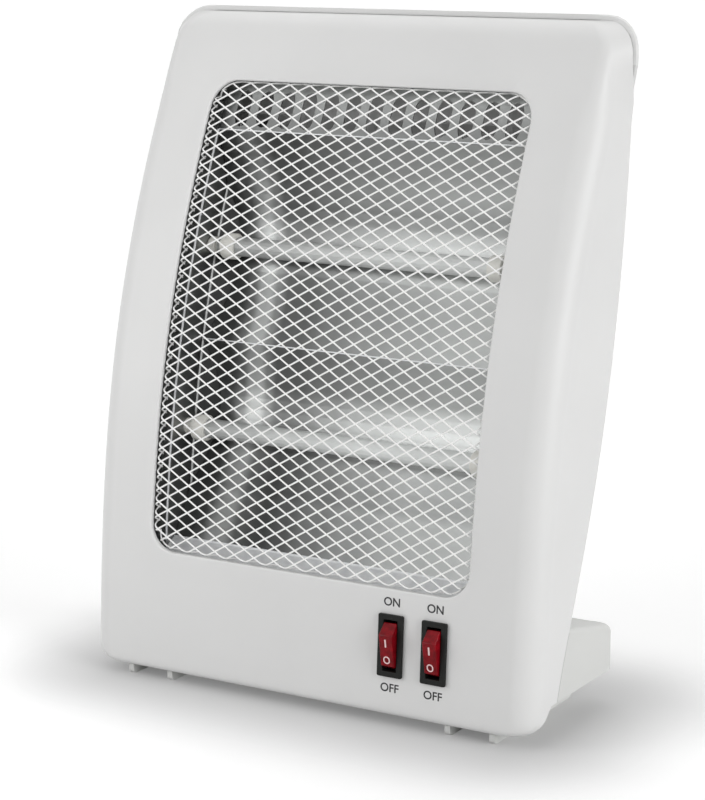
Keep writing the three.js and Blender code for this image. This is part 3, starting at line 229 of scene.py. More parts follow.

# %% [markdown]
# What one sees of a polished reflector is mostly its surroundings: a bright band where it mirrors a lamp,
# and dark where it mirrors the dark inside. A mirror in a white studio shows none of that, and building
# the surroundings would be a scene of its own. So the sheet gets painted reflection and painted shade as
# tones by place, in the object's own space: tones across, which may lean with height, other tones near
# the foot, and a factor that changes upward. The painted tones stay on the sheet from every side.

# %% Helpers for painted reflection and shade by place
sheet_tint = (0.988, 1.0, 0.993)
sheet_grey = (0.4, 0.4, 0.4)
waver_scale = 30


def in_range(material, source, start, end, low, high, curve="LINEAR"):
    """A value that goes from low to high while the source goes from start to end."""
    rule = material.node_tree.nodes.new("ShaderNodeMapRange")
    rule.interpolation_type = curve
    for socket, value in zip(("From Min", "From Max", "To Min", "To Max"), (start, end, low, high)):
        rule.inputs[socket].default_value = value
    material.node_tree.links.new(source, rule.inputs["Value"])
    return rule.outputs["Result"]


def blended(material, first, second, blend_type, factor=None):
    """Two colours, mixed by a factor or blended fully."""
    mix = material.node_tree.nodes.new("ShaderNodeMix")
    mix.data_type = "RGBA"
    mix.blend_type = blend_type
    mix.inputs["Factor"].default_value = 1.0
    if factor:
        material.node_tree.links.new(factor, mix.inputs["Factor"])
    material.node_tree.links.new(first, mix.inputs["A"])
    material.node_tree.links.new(second, mix.inputs["B"])
    return mix.outputs["Result"]


def tone_ramp(material, source, tones):
    """A ramp of greys by place; each tone is a place in metres and a grey."""
    first, last = tones[0][0], tones[-1][0]
    ramp = material.node_tree.nodes.new("ShaderNodeValToRGB")
    ramp.color_ramp.interpolation = "EASE"
    for _ in tones[2:]:
        ramp.color_ramp.elements.new(0.5)
    for element, (place, grey) in zip(ramp.color_ramp.elements, tones):
        element.position = (place - first) / (last - first)
        element.color = (*(grey * part for part in sheet_tint), 1)
    material.node_tree.links.new(in_range(material, source, first, last, 0.0, 1.0), ramp.inputs["Fac"])
    return ramp.outputs["Color"]


def painted_light_by_place(name, across, roughness, waver=0.0, lean=(), foot=None, upward=None):
    """A metal whose colour carries painted reflection and shade by its place. The tones across shift
    sideways between two heights as each row of lean says, and waver a little. The foot is two heights and
    the tones below them, and the tones upward multiply the rest."""
    material = new_material(name, sheet_grey, roughness, Metallic=1.0)
    nodes = material.node_tree.nodes
    links = material.node_tree.links
    split = nodes.new("ShaderNodeSeparateXYZ")
    links.new(nodes.new("ShaderNodeTexCoord").outputs["Object"], split.inputs["Vector"])
    place_x, place_z = split.outputs["X"], split.outputs["Z"]
    shifts = [in_range(material, place_z, start, end, 0.0, shift) for start, end, shift in lean]
    if waver:
        shifts.append(in_range(material, noise(material, waver_scale, detail=3), 0.0, 1.0, -waver, waver))
    for shift in shifts:
        total = nodes.new("ShaderNodeMath")
        links.new(place_x, total.inputs[0])
        links.new(shift, total.inputs[1])
        place_x = total.outputs[0]
    colour = tone_ramp(material, place_x, across)
    if foot:
        foot_z, above_z, foot_tones = foot
        share = in_range(material, place_z, foot_z, above_z, 0.0, 1.0)
        colour = blended(material, tone_ramp(material, place_x, foot_tones), colour, "MIX", share)
    if upward:
        colour = blended(material, colour, tone_ramp(material, place_z, upward), "MULTIPLY")
    links.new(colour, nodes["Principled BSDF"].inputs["Base Color"])
    bumpy(material, noise(material, dent_scale, detail=3, stretch=dent_stretch), dent_height, 0.3)
    return material


# %% [markdown]
# The painted reflection on the back of the reflector is a pale band near its left end, dark on both sides
# of it, and it gets lighter to the right. Upward, it is painted brightest where the troughs turn towards
# the light behind each tube. The band leans with the troughs near the top, and near the foot it is fainter
# and further left. The tones could be worked out from a model of the room, but they were set a few at a
# time, by comparing renders with readings of the photograph between the wires.

# %% Painted reflection on the reflector's back
back_painted_reflection_across = [
    (-0.0905, 0.12), (-0.075, 0.12), (-0.067, 0.26), (-0.061, 0.54), (-0.056, 0.56), (-0.051, 0.3),
    (-0.045, 0.15), (-0.034, 0.16), (-0.017, 0.26), (0.006, 0.38), (0.03, 0.48), (0.055, 0.56),
    (0.0905, 0.58),
]
back_painted_reflection_at_foot = [
    (-0.0905, 0.1), (-0.077, 0.12), (-0.068, 0.28), (-0.061, 0.28), (-0.053, 0.1), (-0.04, 0.06),
    (-0.0286, 0.1), (-0.012, 0.2), (0.01, 0.33), (0.042, 0.5), (0.0905, 0.6),
]
back_painted_reflection_upward = [
    (0.0715, 0.66), (0.092, 0.62), (0.099, 0.46), (0.118, 0.5), (0.125, 1.0), (0.143, 1.0),
    (0.15, 0.64), (0.168, 0.62), (0.172, 0.68), (0.19, 0.58), (0.2, 0.56), (0.212, 0.85),
    (0.222, 0.72), (0.236, 0.44), (0.25, 0.66), (0.262, 0.56), (0.2775, 0.58),
]
back_lean = [(0.19, 0.27, 0.0145)]
back_foot_start = 0.112
back_foot_end = 0.15
back_waver = 0.003

back_sheet = painted_light_by_place(
    "back_sheet", back_painted_reflection_across, 0.3, back_waver,
    lean=back_lean, foot=(back_foot_start, back_foot_end, back_painted_reflection_at_foot), upward=back_painted_reflection_upward,
)
print("tones of the back:", len(back_painted_reflection_across), "across,", len(back_painted_reflection_upward), "upward")

# %% [markdown]
# The left end plate mirrors the dark inside of the case, so it is painted dark grey, and its flange towards
# the guard is painted paler, for the light that it mirrors. The slotted top plate is painted darker, for
# the shade it lies in, and paler near the front, where it faces the light.

# %% Painted reflection and light on the end plate and the slotted plate
end_painted_reflection_across = [(-0.104, 0.4), (-0.0916, 0.4), (-0.0901, 0.4), (-0.0896, 0.04), (-0.0795, 0.036)]
end_sheet = painted_light_by_place("end_sheet", end_painted_reflection_across, 0.34)

slotted_painted_shade_across = [(-0.09, 0.19), (-0.03, 0.21), (0.09, 0.21)]
slotted_painted_light_upward = [(0.282, 1.0), (0.292, 1.4), (0.302, 3.6)]
slotted_sheet = painted_light_by_place("slotted_sheet", slotted_painted_shade_across, 0.4, upward=slotted_painted_light_upward)
print("toned sheets:", end_sheet.name, slotted_sheet.name)

# %% [markdown]
# The tubes are frosted quartz, cold and unlit, so they look like pale milky rods. They are painted
# brighter to the right, as the painted reflection on the sheet behind them is. Real glass with a coil
# inside would need many bounces of light to look the same. The recipe of the painted sheet serves, turned
# from metal into a coated pale solid.

# %% Finish and painted light of the quartz tubes
tube_painted_light_across = [(-0.084, 0.42), (-0.06, 0.5), (-0.02, 0.72), (0.03, 0.88), (0.084, 0.86)]
tube_painted_light_upward = [(0.12, 1.0), (0.18, 0.92), (0.225, 0.9)]
tube_waver = 0.004

frosted_quartz = painted_light_by_place(
    "frosted_quartz", tube_painted_light_across, 0.3, tube_waver, upward=tube_painted_light_upward,
)
quartz_shader = frosted_quartz.node_tree.nodes["Principled BSDF"]
quartz_shader.inputs["Metallic"].default_value = 0.0
quartz_shader.inputs["Coat Weight"].default_value = 0.25
print("tubes:", frosted_quartz.name)

# %% [markdown]
# The rest of the hardware: the guard's wire is dipped in glossy white, the caps are unglazed ceramic with
# a sandy surface, screws and springs are zinc-plated, and the heating coil is wire with a dark oxide.

# %% Finishes of wire, ceramic and steel
coat_scale = 300
drip_scale = 1500
drip_height = 0.00003
zinc_scale = 700
kiln_scale = 160
sand_scale = 1500
sand_height = 0.00008
oxide_scale = 900

guard_white = new_material("guard_white", (0.96, 0.96, 0.95), 0.3, Specular_IOR_Level=0.9)
uneven(guard_white, "Roughness", noise(guard_white, coat_scale), 0.28, 0.45)
bumpy(guard_white, noise(guard_white, drip_scale, detail=2), drip_height, 0.5)

zinc_steel = new_material("zinc_steel", (0.55, 0.56, 0.57), 0.35, Metallic=1.0)
uneven(zinc_steel, "Roughness", noise(zinc_steel, zinc_scale), 0.25, 0.5)

pale_ceramic = new_material("pale_ceramic", (0.9, 0.89, 0.84), 0.6)
uneven(pale_ceramic, "Base Color", noise(pale_ceramic, kiln_scale), (0.84, 0.83, 0.78), (0.94, 0.93, 0.88))
bumpy(pale_ceramic, noise(pale_ceramic, sand_scale), sand_height, 0.6)

oxide_wire = new_material("oxide_wire", (0.2, 0.17, 0.15), 0.5, Metallic=1.0)
uneven(oxide_wire, "Roughness", noise(oxide_wire, oxide_scale), 0.4, 0.65)
print("hardware:", guard_white.name, zinc_steel.name, pale_ceramic.name, oxide_wire.name)

# %% [markdown]
# The curved case. Seen from the side, the front of the case is one smooth curve that leans back as it
# rises, and the rear edge of its walls is another. A curve object could be drawn for each, but the meshes
# below only ask how far back the case is at a height. So each is a Bezier curve between two places, with
# a lean in degrees and a pull in metres at both ends, and halving finds the height that is asked for.

# %% Curves of the case
halvings = 40


def spread(low, high, count):
    """Values from low to high, in count equal steps."""
    return [low + (high - low) * i / count for i in range(count + 1)]


def side_curve(foot, foot_lean, foot_pull, top, top_lean, top_pull):
    """How far back a side curve is at a height, from its two ends."""
    def leaning(degrees, pull):
        return Vector((math.sin(math.radians(degrees)), math.cos(math.radians(degrees)))) * pull

    start = Vector(foot)
    end = Vector(top)
    pulls = [start, start + leaning(foot_lean, foot_pull), end - leaning(top_lean, top_pull), end]

    def point(t):
        weights = [(1 - t) ** 3, 3 * t * (1 - t) ** 2, 3 * t * t * (1 - t), t ** 3]
        return sum((w * p for w, p in zip(weights, pulls)), Vector((0, 0)))

    def back_at(z):
        z = min(max(z, foot[1]), top[1])
        low, high = 0.0, 1.0
        for _ in range(halvings):
            middle = (low + high) / 2
            low, high = (middle, high) if point(middle).y < z else (low, middle)
        return point((low + high) / 2).x

    return back_at


# %% [markdown]
# The driving sizes of the case, and its two curves. The lower tube lies at a known depth behind the
# front, which ties the curves to the frame.

# %% Driving sizes of the case
case_half = 0.129
wall = 0.0025
shell_top = 0.3368
cover_top = 0.3395
clear_height = 0.01875
tube_depth = 0.0267

front_foot = (0.00103, 0.008)
front_foot_lean = 2.12
front_foot_pull = 0.1329
front_top = (0.0858, shell_top)
front_top_lean = 27.9
front_top_pull = 0.1362
rear_foot = (0.0264, clear_height)
rear_foot_lean = 16.5
rear_foot_pull = 0.0533
rear_top = (0.0986, cover_top)
rear_top_lean = 1.06
rear_top_pull = 0.1972

front_curve = side_curve(
    front_foot, front_foot_lean, front_foot_pull,
    front_top, front_top_lean, front_top_pull,
)
rear_curve = side_curve(
    rear_foot, rear_foot_lean, rear_foot_pull,
    rear_top, rear_top_lean, rear_top_pull,
)
tube_low, tube_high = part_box("quartz_tube_lower")
tube_z = (tube_low.z + tube_high.z) / 2
depth_shift = (tube_low.y + tube_high.y) / 2 - front_curve(tube_z) - tube_depth


def front_y(z):
    """How far back the front is at a height, in the frame."""
    return front_curve(z) + depth_shift


def rear_y(z):
    """How far back the rear edge of the walls is at a height, in the frame."""
    return rear_curve(z) + depth_shift


print("front leans back", round(front_y(shell_top) - front_y(clear_height), 4), "m")

# %% [markdown]
# Three helpers make pieces. One turns a bmesh into an object with soft shading and crisp creases, puts it
# on its body and hides the imported pieces that it stands in for. One rounds the sharp edges of small
# parts. The last builds a moulded wall: an outer and an inner grid of points with the same rows and
# columns, joined along every open edge. A Solidify modifier would be shorter, but its walls get uneven
# where the wall bends sharply.

# %% Helpers for pieces
usual_join = 1e-6


def finish_piece(name, bm, material, body="case", replaced=(), crease=38, join=usual_join):
    """Links a bmesh as a piece with its material and body, and hides the imported pieces it replaces."""
    bmesh.ops.remove_doubles(bm, verts=bm.verts, dist=join)
    bmesh.ops.dissolve_degenerate(bm, edges=bm.edges, dist=join)
    bmesh.ops.recalc_face_normals(bm, faces=bm.faces)
    for edge in bm.edges:
        edge.smooth = len(edge.link_faces) == 2 and edge.calc_face_angle() < math.radians(crease)
    for face in bm.faces:
        face.smooth = True
    mesh = bpy.data.meshes.new(name)
    bm.to_mesh(mesh)
    bm.free()
    mesh.materials.append(material)
    piece = bpy.data.objects.new(name, mesh)
    bpy.context.collection.objects.link(piece)
    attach(piece, body)
    if replaced:
        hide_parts(*replaced)
    print(name, "faces:", len(mesh.polygons))
    return piece


def soften(piece, width, angle=50):
    """Rounds the sharp edges of a piece."""
    bevel = piece.modifiers.new("soft_edges", "BEVEL")
    bevel.width = width
    bevel.segments = 3
    bevel.use_clamp_overlap = False
    bevel.limit_method = "ANGLE"
    bevel.angle_limit = math.radians(angle)
    return piece


def moulded_wall(outer, inner, is_open, lip):
    """A closed wall between two grids. is_open(row, column) leaves a cell out, and lip(place) gives the
    points of a rounded lip from an edge of the outer grid to the inner one."""
    bm = bmesh.new()
    layers = [[[bm.verts.new(p) for p in row] for row in grid] for grid in (outer, inner)]
    twin = {}
    for outer_row, inner_row in zip(*layers):
        twin.update(zip(outer_row, inner_row))
    width = len(outer[0])
    for row in range(len(outer) - 1):
        for column in range(width):
            if is_open(row, column):
                continue
            after = (column + 1) % width
            for layer, turn in zip(layers, (1, -1)):
                quad = [layer[row][column], layer[row][after], layer[row + 1][after], layer[row + 1][column]]
                bm.faces.new(quad[::turn])
    rim = [edge for edge in bm.edges if len(edge.link_faces) == 1 and edge.verts[0] in twin]
    for vert in dict.fromkeys(vert for edge in rim for vert in edge.verts):
        twin[vert] = [bm.verts.new(p) for p in lip(vert.co)] + [twin[vert]]
    for edge in rim:
        a, b = edge.verts
        for near_a, near_b, far_a, far_b in zip([a] + twin[a], [b] + twin[b], twin[a], twin[b]):
            bm.faces.new((near_a, near_b, far_b, far_a))
    return bm


# %% [markdown]
# The front shell is the piece that the picture shows most of: a tray with rounded sides, a big window, a
# panel with two switch openings and a lip under it. It is built as a grid whose rows follow the front
# curve. A boolean cut would be quicker to write, but it leaves slivers that spoil the soft reflections.
# Instead one column of points runs along the window's rounded edge, and the cells inside it are simply
# left out. The two switch openings are left out in the same way. First its sizes: the roundings of the
# sides and the crown, and how the sides spread near the top.

# %% Sizes of the front shell
side_rounding = 0.0135
crown_radius = 0.01
crown_ledge = 0.0006
flat_half = case_half - side_rounding
flare_reach = 0.0022
flare_start_drop = 0.05
flare_end_drop = 0.022
top_side_rounding = 0.007
top_flat_half = 0.1192
shell_top_radius = 0.016
shell_foot_radius = 0.009
lip_bottom = 0.0055
lip_radius = 0.004
lip_back_y = 0.00653
chin_back_y = 0.0203
rim_start_drop = 0.04
rim_lap_drop = 0.02
rim_lap = 0.0069
flare_start_z = shell_top - flare_start_drop
flare_end_z = shell_top - flare_end_drop
rim_start_z = shell_top - rim_start_drop
rim_lap_z = shell_top - rim_lap_drop
print("flat front:", round(2 * flat_half, 4), "m wide")

# %% [markdown]
# The window and the two switch openings. The hole in the grid is wider than the window by the rounding of
# its lip, because the lip turns inwards from there. On the real case such a lip hides the guard's edge.

# %% Sizes of the openings
window_half = 0.092
window_low = 0.0685
window_high = 0.303
window_radius = 0.014
lip_round = 0.0009
lip_steps = 4
hole_half = window_half + lip_round
hole_low = window_low - lip_round
hole_high = window_high + lip_round
hole_radius = window_radius + lip_round
switch_centres = [0.0516, 0.0755]
switch_height_z = 0.0411
switch_hole_half = 0.0058
switch_hole_rise = 0.014
tiny = 0.00001


def window_edge(z):
    """Half the width of the hole for the window at a height; past the hole, where its corner starts."""
    straight = hole_half - hole_radius
    centre = min(max(z, hole_low + hole_radius), hole_high - hole_radius)
    off = min(abs(z - centre), hole_radius)
    return straight + math.sqrt(hole_radius ** 2 - off ** 2)


def window_lip(place):
    """The rounded lip of the window at a point of its edge; other edges have none."""
    if abs(place.x) > hole_half + tiny or not hole_low - tiny < place.z < hole_high + tiny:
        return []
    reach = hole_half - hole_radius
    centre = Vector((min(max(place.x, -reach), reach), 0,
                     min(max(place.z, hole_low + hole_radius), hole_high - hole_radius)))
    inward = Vector((centre.x - place.x, 0, centre.z - place.z)).normalized()
    turned = [
        place + inward * lip_round * math.sin(t) + Vector((0, lip_round * (1 - math.cos(t)), 0))
        for t in spread(0, math.pi / 2, lip_steps)[1:]
    ]
    return turned + [place + inward * lip_round + Vector((0, wall, 0))]


print("window:", round(2 * window_half, 4), "by", round(window_high - window_low, 4), "m")

# %% [markdown]
# How deep the shell is at a height. Its walls end at the seam with the rear cover: along the sides that
# is the rear curve, and near the top the cover laps forward over the shell. Under the panel the lip turns
# back as a chin. Each of these is a small function of the height, so every row of points can ask for it.

# %% Edges of the front shell
def rounded_back(over, radius):
    """How far a rounded edge has turned back, a distance past its start."""
    over = min(max(0.0, over), radius)
    return radius - math.sqrt(radius ** 2 - over ** 2)


def flare_share(z):
    """Near the top the sides spread and slant, and their front edge gets crisper: 0 below, 1 above."""
    share = min(max((z - flare_start_z) / (flare_end_z - flare_start_z), 0.0), 1.0)
    return share * share * (3 - 2 * share)


def seam_y(z):
    """The seam between the shell and the cover: the rear edge, brought forward near the top and
    forward again over the corners, up to the crown."""
    if z <= rim_start_z:
        return rear_y(z)
    lap = rear_y(z) - rim_lap * (z - rim_start_z) / (rim_lap_z - rim_start_z)
    if z <= rim_lap_z:
        return lap
    share = min(1.0, (z - rim_lap_z) / (shell_top - rim_lap_z))
    start = rear_y(rim_lap_z) - rim_lap
    return start + (front_y(shell_top) + crown_radius + crown_ledge - start) * share * share


def chin_y(z):
    """The back of the chin below the panel."""
    share = (z - lip_bottom) / (clear_height - lip_bottom)
    return depth_shift + lip_back_y + share * (chin_back_y - lip_back_y)


def side_slant(reach, room, radius):
    """How much the side leans outwards, so that a rounding followed by a straight side covers a reach
    across and the room in depth."""
    deeper = room - radius
    return math.acos(min(1.0, radius / math.hypot(reach, deeper))) - math.atan2(deeper, reach)


print("seam at the crown:", round(seam_y(shell_top), 4), "m")

# %% [markdown]
# The rows of the grid. They are level except at the rounded foot and top corners, where every row turns
# with the corner. More rows lie where the window's corners are, so that its outline stays round.

# %% Rows of the front shell
foot_turn_steps = 9
top_turn_steps = 14
corner_steps = 8
switch_steps = 5
front_steps = 34


def shell_rows():
    """Each row: the height of its centre, the radius it turns with and the turn, for any inset."""
    foot_centre = lip_bottom + shell_foot_radius
    top_centre = shell_top - shell_top_radius
    switch_low = switch_height_z - switch_hole_rise
    switch_high = switch_height_z + switch_hole_rise
    turns = spread(0, math.pi / 2, corner_steps)
    low_arc = [hole_low + hole_radius * (1 - math.cos(t)) for t in turns]
    high_arc = [hole_high - hole_radius * (1 - math.sin(t)) for t in turns]
    level = [clear_height - tiny, clear_height]
    level += spread(clear_height, switch_low, 2)[1:]
    level += spread(switch_low, switch_high, switch_steps)[1:]
    level += spread(switch_high, low_arc[0], 2)[1:-1]
    level += low_arc
    level += spread(low_arc[-1], high_arc[0], front_steps)[1:-1]
    level += high_arc
    level += spread(high_arc[-1], top_centre, 3)[1:-1]
    foot_turns = spread(0, math.pi / 2, foot_turn_steps)
    top_turns = spread(0, math.pi / 2, top_turn_steps)
    foot = [(foot_centre, shell_foot_radius, -math.cos(turn)) for turn in foot_turns]
    top = [(top_centre, shell_top_radius, math.sin(turn)) for turn in top_turns]
    return foot + [(z, 0.0, 0.0) for z in level] + top


rows = shell_rows()
print("rows of the shell:", len(rows))

# %% [markdown]
# One row of points runs from the middle of the front, past the switch openings and the window's edge,
# round the side and straight back to the seam. The other half is its mirror image. An inset gives the
# same row for the inside of the wall.

# %% Columns of the front shell
round_steps = 12
side_steps = 5
middle_step_x = 0.024
edge_margin = 0.003


def front_columns(z, turn_x):
    """The places across where the columns of the flat front are, at a height."""
    edge = window_edge(z)
    first, second = switch_centres
    hole = switch_hole_half
    outer_edge = max(second + hole, edge + edge_margin)
    columns = [0.0, middle_step_x, first - hole, first + hole, second - hole, edge, outer_edge]
    return columns + [(outer_edge + turn_x) / 2]


def shell_point_row(row, inset):
    """One row of points, from the left seam over the front to the right seam."""
    centre, radius, share = row
    reach = max(0.0, radius - inset) if radius else 0.0
    z = centre + reach * share
    narrower = reach * (1 - math.sqrt(max(0.0, 1 - share * share))) if radius else 0.0
    front = front_y(z) + inset + rounded_back(lip_bottom + lip_radius - z, lip_radius)
    front += rounded_back(z - (shell_top - crown_radius), crown_radius - inset)
    if z < clear_height:
        back = chin_y(z) - inset * math.hypot(1, (chin_back_y - lip_back_y) / (clear_height - lip_bottom))
    else:
        back = seam_y(z)
    back = max(back, front)
    flare = flare_share(z) if z > clear_height else 0.0
    radius_here = side_rounding + (top_side_rounding - side_rounding) * flare - inset
    turn_x = flat_half + (top_flat_half - flat_half) * flare - narrower
    room = back - front
    if z < clear_height:
        full = math.acos(1 - room / radius_here) if room < radius_here else math.pi / 2
        rear_x = turn_x + radius_here * math.sin(full)
    else:
        rear_x = case_half + flare_reach * flare - inset - narrower
        full = math.pi / 2 - side_slant(rear_x - turn_x, room, radius_here)
    points = [(x, front) for x in front_columns(z, turn_x)]
    points += [
        (turn_x + radius_here * math.sin(t), front + radius_here * (1 - math.cos(t)))
        for t in spread(0, full, round_steps)
    ]
    end_x, end_y = points[-1]
    points += [
        (end_x + (rear_x - end_x) * along, end_y + (back - end_y) * along)
        for along in spread(0.0, 1.0, side_steps)[1:]
    ]
    right = [Vector((x, y, z)) for x, y in points]
    left = [Vector((-p.x, p.y, p.z)) for p in reversed(right[1:])]
    return left + right


# %% [markdown]
# Now the shell itself: both grids, the cells that stay open, and the wall between them. Counted from the
# middle, the window takes the columns up to its edge, and the switch openings take three columns on the
# right.

# %% Front shell
window_columns = 5
switch_columns = (2, 4, 5)
shell_outer = [shell_point_row(row, 0.0) for row in rows]
shell_inner = [shell_point_row(row, wall) for row in rows]
middle_column = (len(shell_outer[0]) - 1) // 2


def shell_is_open(row, column):
    """The window, the switch openings and the open back of the shell."""
    low = rows[row][0] + tiny
    is_level = rows[row][1] == 0.0
    from_middle = column - middle_column
    if column == len(shell_outer[0]) - 1:
        return shell_outer[row + 1][0].z > clear_height - tiny / 2
    if is_level and hole_low < low < hole_high:
        return -window_columns <= from_middle < window_columns
    if is_level and abs(low - switch_height_z) < switch_hole_rise:
        return from_middle in switch_columns
    return False


shell_mesh = moulded_wall(shell_outer, shell_inner, shell_is_open, window_lip)
finish_piece("front_shell_moulding", shell_mesh, case_white, replaced=["front_shell"])

# %% [markdown]
# The guard is a diamond mesh of thin white wire. Its wires run straight across the window in two slanting
# sets, follow the curve of the front, and turn back round all four sides of the window. On the flat
# pattern each wire is a straight line; a point outside the flat part of the pattern is wrapped round the
# bend and then runs back. Heights along the curved front are measured along the curve, as on a sheet that
# is bent, so the diamonds stay equal.

# %% Guard pattern
guard_depth = 0.0013
guard_gap = 0.00045
guard_bend = 0.0018
guard_return = 0.0035
guard_level_count = 160

guard_half = window_half - guard_gap
guard_low = window_low + guard_gap
guard_high = window_high - guard_gap
guard_levels = spread(guard_low, guard_high, guard_level_count)
guard_lengths = [0.0]
for below, above in zip(guard_levels, guard_levels[1:]):
    guard_lengths.append(guard_lengths[-1] + math.hypot(above - below, front_y(above) - front_y(below)))
guard_length = guard_lengths[-1]


def level_at(length):
    """The height of a point at a length along the curved front."""
    share = min(max(length / guard_length, 0.0), 1.0) * guard_level_count
    i = min(int(share), guard_level_count - 1)
    while i > 0 and guard_lengths[i] > length:
        i -= 1
    while i < guard_level_count - 1 and guard_lengths[i + 1] < length:
        i += 1
    part = (length - guard_lengths[i]) / (guard_lengths[i + 1] - guard_lengths[i])
    return guard_levels[i] + part * (guard_levels[i + 1] - guard_levels[i])


def wrapped(u, v):
    """A point of the flat pattern on the bent guard, or None where the guard has ended."""
    reach_u = guard_half - window_radius
    low_v = window_radius
    high_v = guard_length - window_radius
    nearest = Vector((min(max(u, -reach_u), reach_u), min(max(v, low_v), high_v)))
    away = Vector((u, v)) - nearest
    flat = window_radius - guard_gap - guard_bend
    past = away.length - flat
    if past <= 0:
        across, depth = Vector((u, v)), 0.0
    else:
        quarter = guard_bend * math.pi / 2
        turn = min(past, quarter) / guard_bend
        out = flat + guard_bend * math.sin(turn)
        depth = guard_bend * (1 - math.cos(turn)) + max(0.0, past - quarter)
        across = nearest + away.normalized() * out
        if past > quarter + guard_return:
            return None
    z = level_at(across.y)
    return Vector((across.x, front_y(z) + guard_depth + depth, z))


print("guard:", round(guard_length, 4), "m along the curve")

# %% [markdown]
# A tube is drawn through the points of each wire, so light catches round wires as it does on the real
# mesh. A curve with a bevel would give the same, but a mesh of our own keeps the number of faces low.

# %% Guard wires
guard_wire_radius = 0.00043
diamond_width = 0.0118
diamond_height = 0.00695
wire_step = 0.0016
wire_sides = 6
guard_join = 1e-8
off_line = Vector((0, 1, 0.3))


def tube_through(bm, points, radius, sides):
    """Adds a closed round tube through a list of points, none of which runs along off_line."""
    rings = []
    for i, point in enumerate(points):
        before = points[max(0, i - 1)]
        after = points[min(len(points) - 1, i + 1)]
        along = (after - before).normalized()
        side = along.cross(off_line).normalized()
        up = side.cross(along)
        rings.append([
            bm.verts.new(point + radius * (math.cos(a) * side + math.sin(a) * up))
            for a in spread(0, math.tau, sides)[:-1]
        ])
    for ring, following in zip(rings, rings[1:]):
        for k in range(sides):
            m = (k + 1) % sides
            bm.faces.new((ring[k], ring[m], following[m], following[k]))
    bm.faces.new(rings[0][::-1])
    bm.faces.new(rings[-1])


def guard_wires(direction):
    """The wires of one slanting set, cut where the pattern ends."""
    slope = direction * diamond_height / diamond_width
    span = guard_half + guard_bend + guard_return
    count = int((guard_length + 4 * span * abs(slope)) / diamond_height) + 2
    steps = int(2 * span * math.hypot(1, slope) / wire_step)
    runs = []
    for index in range(-count, count):
        run = []
        for u in spread(-span, span, steps):
            v = index * diamond_height + slope * u
            inside = -guard_return - guard_bend < v < guard_length + guard_return + guard_bend
            point = wrapped(u, v) if inside else None
            if point is None:
                runs.append(run)
                run = []
            else:
                run.append(point)
        runs.append(run)
    return [run for run in runs if len(run) > 2]


guard_mesh = bmesh.new()
for direction in (1, -1):
    for run in guard_wires(direction):
        tube_through(guard_mesh, run, guard_wire_radius, wire_sides)
finish_piece(
    "guard_mesh_wires", guard_mesh, guard_white, replaced=["wire_guard"], join=guard_join,
)

# %% [markdown]
# The switches are bought-in parts that are pressed into the leaning front. They are easiest to make round
# their own centre, upright, and then laid on the front by one matrix. Two more helpers draw a rounded
# rectangle and join two rings of points.

# %% Places on the leaning front
bezel_width = 0.0136
bezel_height = 0.031
face_lean = math.atan2(
    front_y(switch_height_z + bezel_height / 2) - front_y(switch_height_z - bezel_height / 2),
    bezel_height,
)


def on_front(x, z=switch_height_z):
    """The placing matrix of something that lies on the front at a place, upright and leaning with it."""
    return Matrix.Translation((x, front_y(z), z)) @ Matrix.Rotation(-face_lean, 4, "X")


def rounded_outline(half_width, half_height, radius, steps=4):
    """A rounded rectangle as (across, up) points, anticlockwise."""
    corners = [(1, -1, -0.5), (1, 1, 0.0), (-1, 1, 0.5), (-1, -1, 1.0)]
    return [
        Vector((
            sx * (half_width - radius) + radius * math.cos(math.pi * start + turn),
            sz * (half_height - radius) + radius * math.sin(math.pi * start + turn),
        ))
        for sx, sz, start in corners
        for turn in spread(0, math.pi / 2, steps)
    ]


def bridge(bm, first, second):
    """Faces between two rings of as many vertices."""
    for k in range(len(first)):
        m = (k + 1) % len(first)
        bm.faces.new((first[k], first[m], second[m], second[k]))


print("the panel leans", round(math.degrees(face_lean), 2), "degrees")

# %% [markdown]
# A switch housing is one black moulding: a bezel that lies on the panel, an opening for the rocker, and a
# box behind the panel that holds the contacts. Rings of the same rounded shape, bridged one after another
# from the bottom of the opening to the back of the box, give it in one closed skin. The rocker is a short
# wedge-shaped bar with a blunt ridge at both ends, so its profile is drawn from the side first: the
# opening has to be as long as the ridges reach.

# %% Sizes of the switches
rocker_half = 0.0036
rocker_face = -0.0085
rocker_face_half = 0.008
rocker_ridge = -0.0025
rocker_ridge_half = 0.0122
rocker_back = 0.002
rocker_back_half = 0.0105
rocker_tilt = math.radians(12)
rocker_softness = 0.0005
rocker_soft_angle = 15
rocker_crease = 20
pivot_depth = 0.005
seat_gap = 0.0003
bezel_proud = 0.0015
bezel_softness = 0.0003
opening_radius = 0.0004
housing_radius = 0.0008
box_half_width = 0.0055
box_half_height = 0.0137
housing_depth = 0.02

bezel_face = -seat_gap - bezel_proud
opening_half = math.hypot(rocker_ridge, rocker_ridge_half) + seat_gap
rocker_lower = [
    (rocker_face, -rocker_face_half), (rocker_ridge, -rocker_ridge_half), (rocker_back, -rocker_back_half),
]
rocker_outline = rocker_lower + [(y, -z) for y, z in reversed(rocker_lower)]
print("switch opening:", round(2 * opening_half, 4), "m long")

# %% Switch housings
def switch_housing(name, x, node):
    """The bezel, its opening and the box behind the panel."""
    opening = rounded_outline(rocker_half + seat_gap, opening_half, opening_radius)
    bezel = rounded_outline(bezel_width / 2, bezel_height / 2, housing_radius)
    box = rounded_outline(box_half_width, box_half_height, housing_radius)
    rings = [
        (opening, pivot_depth + opening_half), (opening, bezel_face), (bezel, bezel_face),
        (bezel, -seat_gap), (box, -seat_gap), (box, housing_depth),
    ]
    bm = bmesh.new()
    made = [[bm.verts.new((p.x, depth, p.y)) for p in outline] for outline, depth in rings]
    for first, second in zip(made, made[1:]):
        bridge(bm, first, second)
    bm.faces.new(made[0])
    bm.faces.new(made[-1])
    bmesh.ops.transform(bm, matrix=on_front(x), verts=bm.verts)
    piece = finish_piece(name, bm, switch_black, replaced=[node])
    return soften(piece, bezel_softness)


